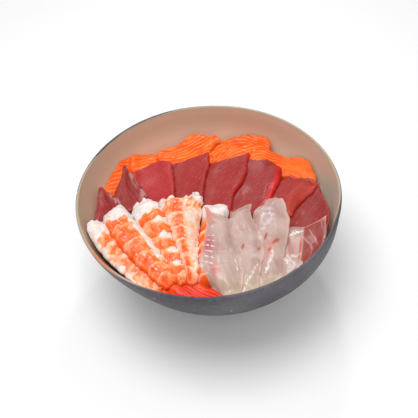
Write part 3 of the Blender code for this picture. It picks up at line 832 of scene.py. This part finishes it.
def tuna_flesh():
    finish, shader, wire = new_finish("tuna_flesh")
    grain = wire.kept("grain", "Vector")
    cloud = wire.noise(grain, 0.12, 3.0)
    lines = wire.noise(wire.stretched(grain, (0.16, 1.7, 1.0)), 1.0, 3.0, 0.6)
    specks = wire.noise(wire.stretched(grain, (0.6, 1.9, 1.0)), 1.0, 2.0, 0.7)
    mottle = wire.noise(grain, 1.4, 3.0, 0.7)
    painted_sheen = wire.kept("painted_sheen")
    # Pale grain lines, and pale specks and mottling of painted sheen, strongest on the slices that glisten.
    pale = (lines.eased(0.5, 0.8) * 0.14 + mottle.eased(0.5, 0.75) * (painted_sheen * 0.12 + 0.02)
            + specks.eased(0.55, 0.74) * (painted_sheen * 0.34 + 0.02))
    brown = (2.2 - wire.kept("margin")).eased(0.0, 2.2)
    side = (wire.kept("face") + wire.kept("side")).eased(0.05, 0.7)
    colour = wire.layered(wire.kept("tone").mixed(paint(138, 32, 26), paint(176, 32, 32)),
                          (cloud.eased(0.3, 0.7), 0.35, (160, 46, 42)), (pale, 1.0, (212, 146, 150)),
                          (wire.kept("sinew") * specks.eased(0.42, 0.62), 0.5, (214, 156, 152)),
                          (brown, 0.4, (158, 66, 54)), ("amber", 0.45, (190, 62, 38)),
                          (side, 0.85, (196, 16, 10)), ("silver", 0.6, (206, 172, 172)))
    wire_up(shader, Base_Color=colour, Roughness=0.42 + specks * 0.14,
            Normal=wire.bump(0.4, 0.16 * MM, lines * 0.5 + specks * 0.5), Subsurface_Weight=0.15,
            Subsurface_Radius=(1.0, 0.15, 0.1), Subsurface_Scale=1.4 * MM, Specular_IOR_Level=0.3,
            Coat_Weight=0.15, Coat_Roughness=0.22)
    return finish


tuna_finish = tuna_flesh()
for name, (corners, bulges, sag, look) in TUNA.items():
    lay_piece(name, quad_outline(corners, bulges), tuna_body(**look), tuna_finish,
              node=name, round_edge=0.35, bluff=0.75, ragged=0.2, fray=4.0, droop=sag)

# ================================================================ the prawn under the white fish
# A cooked prawn, shelled but for its tail fan, slit and opened flat. Its white head end and an
# orange strip of its side show beyond the white fish, which is laid over it.

SEGMENTS = 6.5
PRAWN_GRID = (6, 20)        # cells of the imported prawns, across and along


# Each pattern says how orange a place is, from 0 to 1. s runs across, from -1 to 1, q along the
# prawn from its head end, and t along each segment from its front edge. lumps is a random field.


def banded(at, s, t, q, lumps):
    """Orange, with a smooth white band along the right side."""
    white = eased((s - 0.36 + 0.07 * lumps) / 0.3) * (1 - eased((q - 0.62) / 0.15))
    return 1 - white * (1 - 0.25 * bell(t, 0.96, 0.05))


def blocked(at, s, t, q, lumps):
    """Full orange bands, with a white block on the right of each segment's front half."""
    white = eased((0.5 + 0.15 * s - t + 0.1 * lumps) / 0.36) * eased((s + 0.1) / 0.4)
    return 1 - white * (1 - 0.6 * eased((q - 0.8) / 0.1)) * 0.9


def edged(at, s, t, q, lumps):
    """Mottled orange, with white blocks along the left edge that thin orange lines divide."""
    white = eased((-0.58 - s + 0.15 * lumps) / 0.2) * (1 - eased((q - 0.74) / 0.12))
    white = white * (1 - 0.8 * bell(t, 0.95, 0.05))
    return (1 - white) * (0.84 + 0.26 * at.wander(2.6, 20))


def ridged(at, s, t, q, lumps):
    """Orange red along the middle, pale pink lobes to the left, and pale stripes to the right."""
    middle = bell(s, -0.12, 0.26)
    stripes = (0.5 + 0.5 * np.cos(2 * math.pi * (22 * q + 0.25 * lumps + 0.4 * s))) ** 2
    stripes = stripes * eased(0.4 + lumps) * eased((s - 0.1) / 0.2) * 0.6
    front = (1 - eased((q - 0.16) / 0.08)) * (0.75 + 0.35 * at.wander(1.8, 20))
    white = eased((np.abs(s + 0.05) - 0.52 + 0.12 * lumps) / 0.2) * (1 - eased((q - 0.10) / 0.05))
    return np.maximum(np.maximum(0.34 + 0.9 * middle, stripes), front) * (1 - white)


def glowing(at, s, t, q, lumps):
    """Orange all over, a little paler at the front of each segment."""
    return 0.95 - 0.35 * bell(t, 0.2, 0.15)


# Points along the middle of each prawn, from the head end to the root of its tail, as (x, y,
# width); the frayed tips of the head end, as (place across, length, half width); its thickness.
# head: the share of its length that the white head end takes. peak, bow: where across it the
# segments reach furthest forward, and by what share of a segment. deep, core: where across the
# orange is deepest, and how deep it is there over a segment's back half. rims: how pale the lobes'
# rims are, broken into flecks that are partly painted highlight. lift: how far the left of its head
# is lifted where it leans on the wall. knob: the height of the knob at its tail. Across runs from
# -1, left, to 1, right; lengths are in millimetres.
PRAWNS = {
    "prawn_5": (((5, -5.5, 18), (0.5, -25, 17), (-3, -42, 16), (-7, -56, 13), (-5.5, -68, 12)),
                ((-0.7, 1.0, 0.3), (0.1, 1.2, 0.35), (0.75, 1.0, 0.3)), 6.0,
                dict(pattern=glowing, head=0.15, peak=0.0, bow=0.3, deep=-0.7, rims=0.4, knob=4.0)),
    "prawn_4": (((-20, 3, 34), (-19.5, -14, 26.5), (-18, -32, 18), (-15.8, -50, 13), (-14.5, -67.5, 9)),
                ((-0.98, 2.5, 0.06), (-0.85, 1.0, 0.12), (-0.45, 2.2, 0.10), (-0.1, 0.8, 0.05),
                 (0.35, 3.0, 0.08), (0.62, 2.0, 0.16), (0.95, 4.2, 0.07)), 6.5,
                dict(pattern=ridged, head=0.03, peak=-0.3, bow=0.55, deep=-0.2, rims=1.0, core=0.7)),
    "prawn_3": (((-46, 2, 18), (-40, -16, 21), (-33, -36, 17), (-26.5, -53, 13), (-21, -68, 9)),
                ((-0.6, 1.2, 0.25), (0.3, 2.0, 0.15), (0.8, 1.5, 0.12)), 7.0,
                dict(pattern=blocked, head=0.17, peak=0.1, bow=0.15, deep=-0.8, rims=0.25)),
    "prawn_1": (((-76, -16, 20), (-65.5, -30, 25), (-54.5, -44, 22), (-43.5, -58, 18), (-32.5, -70, 12)),
                ((-0.6, 1.0, 0.3), (0.2, 1.5, 0.25), (0.7, 0.6, 0.2)), 6.0,
                dict(pattern=edged, head=0.17, peak=0.3, bow=0.2, deep=0.9, rims=0.5, lift=6.5)),
    "prawn_2": (((-65.5, -4.5, 18), (-56.5, -23.5, 20), (-45, -42, 18), (-35, -57, 14), (-26.5, -69.5, 10)),
                (), 7.0,
                dict(pattern=banded, head=0.14, peak=-0.25, bow=0.5, deep=-0.4, rims=0.5, core=1.0)),
}


def prawn_outline(points, tips):
    """u runs across; v runs from the root of the tail, 0, to the head end, 1."""
    def mapped(u, v):
        share = 1 - v
        here = smooth_curve(points, share)
        along = (smooth_curve(points, np.minimum(1.0, share + 0.01))
                 - smooth_curve(points, np.maximum(0.0, share - 0.01)))[..., :2]
        along = along / np.linalg.norm(along, axis=-1)[..., None]
        side = np.stack([-along[..., 1], along[..., 0]], -1)
        round_end = np.sqrt(np.maximum(0.0, 1 - (1 - np.minimum(1.0, share / 0.10)) ** 2))
        round_root = np.sqrt(np.maximum(0.0, 1 - (1 - np.minimum(1.0, v / 0.08)) ** 2))
        across = 2 * u - 1
        half = here[..., 2] / 2 * (0.6 + 0.4 * round_end) * (0.5 + 0.5 * round_root)
        half = half * (1 + 0.045 * np.abs(np.sin(math.pi * SEGMENTS * share)))
        push = sum(length * bell(across, place, wide) for place, length, wide in tips) + 0 * u
        push = push * eased(1 - share / 0.05)
        return (here[..., :2] + side * (across * half)[..., None] - along * push[..., None]) * MM

    return mapped


def prawn_body(full, pattern, head, peak, bow, deep, rims, core=0.0, lift=0.0, knob=0.0):
    """A domed body of overlapping segments behind a lumpy white head end."""
    def body(at):
        s, q = 2 * at.u - 1, 1 - at.v
        fine, lumps = at.wander(1.5, 4), at.wander(3.2, 7)
        t = (q * SEGMENTS + bow * (1 - (s - peak) ** 2) + 0.06 * lumps + 0.1) % 1.0
        at.lift = lift * eased((0.5 - q) / 0.5) * eased((0.9 - s) / 1.4)
        crown = 1 - np.abs(s) ** 2.6
        front = 0.4 + 0.6 * eased(q / 0.10)
        white_head = 1 - eased((q - head - 0.03 * lumps) / 0.035)
        lobe = eased(t / 0.13) * (1 - 0.9 * t) * (0.8 + 0.9 * bell(s, peak, 0.45))
        hollow = bell(s, deep, 0.4) * eased((t - 0.5) / 0.5)
        relief = (lobe - 0.7 * hollow) * (1 - white_head) + white_head * 0.25 * np.abs(lumps) + 0.06 * fine
        back = 0.45 + 0.55 * eased(at.v / 0.12)
        thick = 1.2 + (full * (1 - 0.32 * q) * 0.82 * front * back - 1.2) * crown + relief * crown
        thick = thick + knob * bell(q, 0.93, 0.05) * crown
        fresh = 0.62 + 0.38 * eased((t - 0.12 + 0.15 * lumps) / 0.6)
        tint = np.clip(pattern(at, s, t, q, lumps) * fresh + 0.06 * fine, 0.12, 1) * (1 - white_head)
        ends = np.maximum(eased((t - 0.6) / 0.4), 1 - eased(t / 0.06))
        recess = np.maximum(bell(s, deep, 0.42) * ends, 0.9 * eased((-0.78 - s) / 0.2))
        recess = np.maximum(recess, core * bell(s, deep, 0.24) * eased(t / 0.5))
        rim = rims * bell(t, 0.14, 0.08) * (1 - eased((s - peak - 0.35) / 0.4))
        # The pale rims break into flecks, partly painted highlight.
        rim = rim * (0.35 + 0.65 * eased(0.5 + at.wander(1.8, 30)))
        # Wet places get more coat, and a painted highlight in their colour.
        wet_and_glint = eased((at.wander(1.1, 40) - 0.85) / 0.4) * crown * (1 - 0.6 * white_head)
        return thick, {"tint": tint, "deep": recess * np.minimum(1, tint * 1.4),
                       "rim": rim * (1 - white_head), "root": eased((q - 0.90) / 0.08), "wet_and_glint": wet_and_glint}
    return body


def prawn_flesh():
    finish, shader, wire = new_finish("prawn_flesh")
    cloud = wire.noise(wire.place(), 260.0, 3.0)
    fine = wire.noise(wire.place(), 1000.0, 3.0, 0.6)
    tint = wire.kept("tint") + (cloud - 0.5) * 0.35
    colour = cloud.tinted(0.3, 0.7, (218, 204, 198), (230, 222, 217))
    colour = tint.eased(0.1, 0.5).mixed(colour, paint(253, 176, 128))
    orange = cloud.tinted(0.35, 0.65, (248, 92, 22), (254, 126, 50))
    # Pale lobe rims, flecked with painted highlight, and painted highlights where the flesh is wet.
    colour = wire.layered(tint.eased(0.4, 0.95).mixed(colour, orange),
                          ("rim", 0.8, (252, 208, 188)), ("deep", 0.85, (252, 78, 4)),
                          ("root", 0.6, (248, 92, 34)), ("wet_and_glint", 0.35, (255, 232, 220)))
    wire_up(shader, Base_Color=colour, Roughness=0.28, Normal=wire.bump(0.5, 0.22 * MM, fine),
            Subsurface_Weight=0.2,
            Subsurface_Radius=(1.0, 0.5, 0.3), Subsurface_Scale=1.2 * MM, Specular_IOR_Level=0.2,
            Coat_Weight=wire.kept("wet_and_glint") * 0.85 + 0.15, Coat_Roughness=0.06)
    return finish


prawn_finish = prawn_flesh()


def lay_prawn(name):
    points, tips, full, look = PRAWNS[name]
    lay_piece(name, prawn_outline(points, tips), prawn_body(full, **look), prawn_finish,
              node=name, grid=PRAWN_GRID, ragged=0.45, fray=2.4)


lay_prawn("prawn_5")

# ================================================================ the white fish
# Five slices of raw white fish, half clear, laid in a fan at the near right. The last has its
# coral skin side outwards. Pale sinews, wet glints and small blood spots mark the flesh.

WHITE = {
    "white_5": (((50, -24), (78, -20.5), (68, -56), (44, -70)),
                ((0.5, -1.5, 0.3), (1, 1.5, -1), (2,), (3, 4, 3))),
    "white_4": (((42, -20), (52, -20), (49, -66), (30, -78)),
                ((1,), (-1.5, -2, -2, -1, 0, 6.5, 6), (2,), (0,))),
    "white_3": (((29, -14), (51, -1.5), (42, -70), (16, -81)),
                ((1.6, 2.4, 4.5, 4.6), (3.2, 4.8, 3.6, 1.6, -0.5), (1,), (0,))),
    "white_2": (((12, -16), (29, -4), (26, -76), (-2, -84)),
                ((1.5, 3, 1.8), (0, 4, 6, 5, 2), (0,), (0,))),
    "white_1": (((-3, -8), (15, -19), (14, -80), (-6.3, -62.5)),
                ((-1.5, -2, -0.5), (-1, 3, 4.5), (1.5, 3.5, 3), (-1.0, -1.2, -0.2, 2.0, 2.9))),
}

# Marks on the white slices. Places are shares of the slice: across, from its left
# side, 0, to its right, 1, and along, from its near end, 0, to its far end, 1. A patch has its
# place, half its length, half its width, the angle of its length in degrees from straight
# across, and its strength. A stroke has its start, its end, its width and its strength. Lengths
# and widths are in millimetres.
BLOOD_SPOTS = {
    "white_2": ((0.55, 0.52, 3.5, 2, 80, 1.0), (0.6, 0.7, 3.5, 2, 100, 0.5), (0.9, 0.45, 3, 2, 60, 0.8)),
    "white_3": ((0.45, 0.6, 4.5, 2.5, 80, 1.0), (0.75, 0.45, 5, 3, 10, 1.0), (0.6, 0.4, 3, 2, 0, 0.9)),
}
SHEEN = {
    "white_1": ((0.3, 0.75, 6, 4.5, 90, 0.6),),
    "white_2": ((0.8, 0.4, 6, 4, 90, 0.8),),
    "white_3": ((0.5, 0.8, 14, 9.5, 90, 1.0), (0.6, 0.55, 6, 3, 90, 0.4)),
}
BRUISE = {
    "white_1": ((0.1, 0.45, 15, 9.5, 90, 1.0), (0.35, 0.2, 10, 5, 90, 0.4)),
    "white_5": ((0.2, 0.5, 12, 8, 90, 0.6),),
}
WARM = {
    "white_1": ((0.1, 0.95, 17, 11, 90, 1.0), (0.4, 0.2, 9, 5, 90, 0.8)),
    "white_3": ((0.6, 0.4, 12, 7, 90, 0.6),),
}
GLINTS = {
    "white_1": ((0.75, 0.6, 0.8, 0.5, 1.3, 0.8), (0.85, 0.45, 0.88, 0.3, 2, 1.0),
                *((0.06, 0.58 - 0.075 * k, 0.34, 0.62 - 0.075 * k, 1.3 + 0.2 * k, 1.0) for k in range(6))),
    "white_2": ((0.2, 0.5, 0.25, 0.2, 2, 0.9), (0.5, 0.8, 0.5, 0.7, 1.2, 0.7), (0.7, 0.75, 0.5, 0.65, 1, 0.6),
                (0.6, 0.78, 0.8, 0.65, 1, 0.6), (0.5, 0.4, 0.5, 0.3, 1.2, 0.6),
                (0.9, 0.28, 0.8, 0.2, 3.5, 1.0), (0.85, 0.2, 0.7, 0.1, 3.5, 1.0),
                (0.75, 0.12, 0.6, 0.02, 3.5, 1.0)),
    "white_3": ((0.68, 0.36, 0.65, 0.24, 6.5, 1.0), (0.65, 0.27, 0.58, 0.17, 6, 1.0)),
    "white_4": ((0.78, 0.3, 0.6, 0.15, 6.5, 1.0), (0.85, 0.4, 0.75, 0.3, 4, 0.8)),
    "white_5": ((0.1, 0.78, 0.42, 0.82, 7, 1.0), (0.15, 0.38, 0.42, 0.4, 5, 1.0)),
}
SINEWS = {
    "white_1": ((0.75, 0.5, 0.3, 0.4, 1, 0.8), (0.85, 0.42, 0.4, 0.3, 1, 0.8),
                (0.6, 0.3, 0.2, 0.15, 1.5, 1.0)),
}
SKIN_SIDE, SKIN_TOP = 0.45, 0.92    # the skin begins at this share across and ends at this one along
SKIN_STREAKS = {
    "white_5": ((0.5, 0.88, 0.75, 0.9, 2.5, 1.0), (0.7, 0.9, 1.0, 0.94, 3, 1.0),
                (0.44, 0.7, 0.42, 0.3, 2, 1.0)),
}
SKIN_DARK = {"white_5": ((0.8, 0.5, 6, 4.5, 60, 0.9), (0.6, 0.25, 7, 4, 40, 0.8))}
SKIN_LINES = {"white_5": ((0.6, 0.8, 0.72, 0.6, 1.5, 0.9), (0.7, 0.65, 0.85, 0.4, 1.5, 0.8),
                          (0.47, 0.7, 0.65, 0.5, 1.8, 0.9), (0.62, 0.55, 0.75, 0.35, 1.8, 0.9))}
SILVER = {"white_5": ((0.05, 0.92, 0.5, 0.93, 1.2, 0.9), (0.5, 0.93, 0.97, 0.97, 1.5, 1.0))}


def patches(at, places, firm):
    """1 within the patches named for this slice and 0 outside, with soft edges."""
    total = np.zeros(at.x.shape)
    for across, along, long, wide, turn, strength in places.get(at.name, ()):
        p, q = along_across((at.u - across) * at.width, (at.v - along) * at.length, turn)
        total = np.maximum(total, strength * eased((1 - np.hypot(p / long, q / wide)) / (1 - firm)))
    return total


def strokes(at, places):
    """1 along the middle of this slice's strokes, which taper to their ends, and 0 outside them."""
    total = np.zeros(at.x.shape)
    for u0, v0, u1, v1, wide, strength in places.get(at.name, ()):
        x, y = (at.u - u0) * at.width, (at.v - v0) * at.length
        dx, dy = (u1 - u0) * at.width, (v1 - v0) * at.length
        share = np.clip((x * dx + y * dy) / (dx ** 2 + dy ** 2), 0, 1)
        half = wide / 2 * (0.45 + 0.55 * np.sin(math.pi * share))
        away = np.hypot(x - share * dx, y - share * dy)
        total = np.maximum(total, strength * eased(1.5 - 1.5 * away / half))
    return total


def white_body(at):
    thick = slice_body(at, full=2.6, edge=0.35, ripple=0.06, waves=6, lean=0.4, shoulder=9.0)
    crinkle = wander(at.x + 0.2 * at.y, 0.35 * at.y, 1.1, at.seed + 2)
    glint = strokes(at, GLINTS) * eased(0.6 + 0.6 * crinkle)
    sheen = patches(at, SHEEN, 0.2) * eased(0.45 + 0.6 * wander(at.x * 0.7, at.y, 2.2, at.seed + 6))
    creases = 1 - 2 * np.abs(at.wander(2.4, 15))
    fibre = wander(at.x + 0.25 * at.y, at.y * 0.10, 1.3, at.seed + 12)
    streaks = eased((-at.y - 40) / 20) * fibre
    soft = 0.15 * at.wander(9.0, 5) * eased(at.margin / 3)
    ripples = 0.22 * glint * (1 + creases) + 0.3 * sheen * creases + 0.03 * streaks
    last = 1.0 if at.name == "white_5" else 0.0
    skin = last * eased((at.u - SKIN_SIDE) * at.width / 1.8) * eased((SKIN_TOP - at.v) * at.length / 1.5)
    marks = {"spot": patches(at, BLOOD_SPOTS, 0.1), "glint": glint, "sheen": sheen,
             "bruise": patches(at, BRUISE, 0.1), "warm": patches(at, WARM, 0.0),
             "sinew": strokes(at, SINEWS), "skin": skin, "skin_dark": patches(at, SKIN_DARK, 0.0) * skin,
             "skin_line": strokes(at, SKIN_LINES), "skin_red": strokes(at, SKIN_STREAKS),
             "silver": strokes(at, SILVER), "near": eased((-at.y - 58) / 20),
             "fibre": eased(0.2 + 0.8 * fibre) * eased((-at.y - 20) / 40),
             "haze": eased(0.5 + 0.9 * at.wander(7.0, 18))}
    return thick + soft + ripples, marks


def white_flesh():
    finish, shader, wire = new_finish("white_flesh")
    cloud = wire.noise(wire.place(), 90.0, 3.0)
    fine = wire.noise(wire.place(), 900.0, 3.0, 0.6)
    spot = (wire.kept("spot") + (fine - 0.5) * 0.3).eased(0.1, 0.9)
    thin = (3.0 - wire.kept("margin")).eased(0.0, 3.0)
    # Painted light: the cut sides are painted paler and glow faintly, which lightens the shade in the cracks
    # between slices.
    cut = wire.kept("side").eased(0.0, 0.6)
    colour = wire.layered(cloud.tinted(0.3, 0.7, (178, 143, 134), (194, 165, 156)),
                          ("haze", 0.2, (204, 184, 178)), ("near", 0.7, (186, 172, 142)),
                          ("fibre", 0.2, (214, 202, 190)), ("warm", 0.75, (222, 122, 98)),
                          ("bruise", 0.85, (176, 88, 94)), ("sheen", 0.7, (214, 202, 206)),
                          ("skin", 0.9, (146, 44, 38)), ("skin_dark", 0.8, (160, 40, 36)),
                          ("skin_line", 0.6, (206, 160, 154)), ("skin_red", 0.85, (206, 56, 34)),
                          ("silver", 0.7, (206, 196, 194)), (spot, 0.85, (176, 72, 48)),
                          ("sinew", 0.2, (226, 206, 200)), (thin, 0.3, (224, 186, 172)),
                          (cut, 0.5, (226, 202, 188)), ("glint", 0.62, (242, 238, 234)))
    wire_up(shader, Base_Color=colour, Roughness=0.3, Normal=wire.bump(0.3, 0.15 * MM, fine),
            Subsurface_Weight=0.4,
            Subsurface_Radius=(1.0, 0.8, 0.7), Subsurface_Scale=2.0 * MM, Specular_IOR_Level=0.4,
            Coat_Weight=wire.kept("glint") * 0.6 + wire.kept("sheen") * 0.3 + 0.15, Coat_Roughness=0.1,
            # The faint glow of the cut sides is painted light.
            Emission_Color=cut.mixed(paint(0, 0, 0), paint(196, 168, 152)), Emission_Strength=0.45)
    return finish


white_finish = white_flesh()
for name, (corners, bulges) in WHITE.items():
    lay_piece(name, quad_outline(corners, bulges), white_body, white_finish,
              node=name, round_edge=0.5, bluff=0.4, ragged=0.4, fray=4.0, droop=11.0, skirt=7.0)

# ================================================================ the prawns on top
# Four more opened prawns, laid in a fan at the near left with their tails together. Each tail
# still has its shell: a red fan of thin ribbed leaves.

# Each tail fan: the root of its leaves in plan, its direction in degrees, its length, and how far
# each leaf is turned from that direction, the lowest leaf first.
FANS = {
    "prawn_1": ((-34, -69.5), -40, 15, (-16, 10)),
    "prawn_2": ((-28.5, -68), -46, 17, (-12, 9)),
    "prawn_3": ((-24.5, -66), -43, 21, (-8, 7)),
    "prawn_4": ((-16.5, -67), -34, 28, (-9, 0)),
}
LEAF_WIDTH = 0.34       # of its length


def leaf_outline(root, turn, length):
    """A leaf of the tail fan: u across it, v from its root to its tip."""
    ahead = np.array([math.cos(math.radians(turn)), math.sin(math.radians(turn))])
    side = np.array([-ahead[1], ahead[0]])

    def mapped(u, v):
        half = LEAF_WIDTH / 2 * length * (np.sin(math.pi * (0.10 + 0.82 * v)) ** 0.8)
        along, across = (v * length)[..., None], ((2 * u - 1) * half)[..., None]
        return (np.array(root) + ahead * along - side * across) * MM
    return mapped


def leaf_body(at):
    s = 2 * at.u - 1
    ribs = 0.5 + 0.5 * np.cos(4 * math.pi * s + 0.5 * at.wander(5.0, 0))
    thick = 0.6 + 0.7 * (1 - s ** 2) * (1 - 0.6 * at.v) + 0.25 * ribs
    return thick, {"ribs": ribs, "along": at.v}


def tail_shell():
    finish, shader, wire = new_finish("tail_shell")
    cloud = wire.noise(wire.place(), 320.0, 3.0)
    ribs = wire.kept("ribs") + (cloud - 0.5) * 0.6
    pale = (0.55 - wire.kept("along")).eased(0.0, 0.5)
    colour = wire.layered(ribs.tinted(0.1, 0.9, (196, 16, 4), (246, 60, 14)), (pale, 0.7, (252, 100, 34)))
    wire_up(shader, Base_Color=colour, Roughness=0.3, Normal=wire.bump(0.3, 0.15 * MM, cloud),
            Specular_IOR_Level=0.2,
            Coat_Weight=0.2, Coat_Roughness=0.08)
    return finish


tail_finish = tail_shell()
for name in ("prawn_4", "prawn_3", "prawn_1", "prawn_2"):
    root, turn, length, leaves = FANS[name]
    for number, lean in enumerate(leaves):
        lay_piece(f"{name}_leaf_{number + 1}", leaf_outline(root, turn + lean, length), leaf_body,
                  tail_finish, ragged=0.15, fray=3.0)
    lay_prawn(name)

# ================================================================ table, light and camera
# A plain pale table and the photograph's viewpoint. A wide light hangs above, a wider and weaker
# one stands on the near side, and a small one on the far side gives the wet glints.

TABLE_SHADE, TABLE_HALF, TABLE_DROP = 0.9, 3.0, 0.0001
PHOTO_SIDE = 418            # pixels
FOCAL_PIXELS = 664
SENSOR = 36.0
CAMERA_ELEVATION = 47.6     # degrees
CAMERA_DISTANCE = 450 * MM
CAMERA_ROLL = -4.5
AIM_RIGHT, AIM_UP = -0.09 * MM, -13.68 * MM
LIGHT_AIM = (0, 0, 0.05)
# Each light: its place, the side of its square and its power.
LIGHTS = {
    "window": ((-0.14, 0.0, 0.88), 0.5, 4.6),
    "room": ((0.15, -0.8, 0.7), 0.8, 1.6),
    "lamp": ((0.12, 0.62, 0.62), 0.07, 0.9),
}
SKY_LIGHT = 0.56


def make_table():
    finish, shader, wire = new_finish("table_top")
    cloud = wire.noise(wire.place(), 3.0)
    pale, grey = ((shade, shade, shade, 1.0) for shade in (TABLE_SHADE, 0.97 * TABLE_SHADE))
    wire_up(shader, Base_Color=cloud.mixed(pale, grey), Roughness=0.6)
    bm = bmesh.new()
    bmesh.ops.create_grid(bm, x_segments=8, y_segments=8, size=TABLE_HALF)
    mesh = bpy.data.meshes.new("table")
    bm.to_mesh(mesh)
    bm.free()
    mesh.materials.append(finish)
    table = shown("table", mesh)
    table.location.z = -TABLE_DROP


def make_light(name, place, side, power):
    lamp = bpy.data.lights.new(name, "AREA")
    lamp.shape = "RECTANGLE"
    lamp.size = lamp.size_y = side
    lamp.energy = power
    light = shown(name, lamp)
    light.location = place
    light.rotation_euler = (Vector(LIGHT_AIM) - Vector(place)).to_track_quat("-Z", "Y").to_euler()


def make_camera():
    lift, roll = math.radians(CAMERA_ELEVATION), math.radians(CAMERA_ROLL)
    back = Vector((0, -math.cos(lift), math.sin(lift)))
    right = Vector((1, 0, 0))
    up = back.cross(right)
    place = back * CAMERA_DISTANCE + right * AIM_RIGHT + up * AIM_UP + Vector((0, 0, RIM_HEIGHT))
    right, up = (right * math.cos(roll) + up * math.sin(roll), up * math.cos(roll) - right * math.sin(roll))
    camera = shown("camera", bpy.data.cameras.new("camera"))
    camera.data.sensor_width = SENSOR
    camera.data.lens = FOCAL_PIXELS / PHOTO_SIDE * SENSOR
    camera.matrix_world = Matrix.Translation(place) @ Matrix((right, up, back)).transposed().to_4x4()
    bpy.context.scene.camera = camera


make_table()
make_camera()
for name, (place, side, power) in LIGHTS.items():
    make_light(name, place, side, power)
world = bpy.data.worlds.new("studio")
bpy.context.scene.world = world
world.use_nodes = True
sky = world.node_tree.nodes["Background"].inputs
sky["Color"].default_value = (1.0, 1.0, 1.0, 1.0)
sky["Strength"].default_value = SKY_LIGHT
bpy.context.scene.view_settings.view_transform = "Standard"
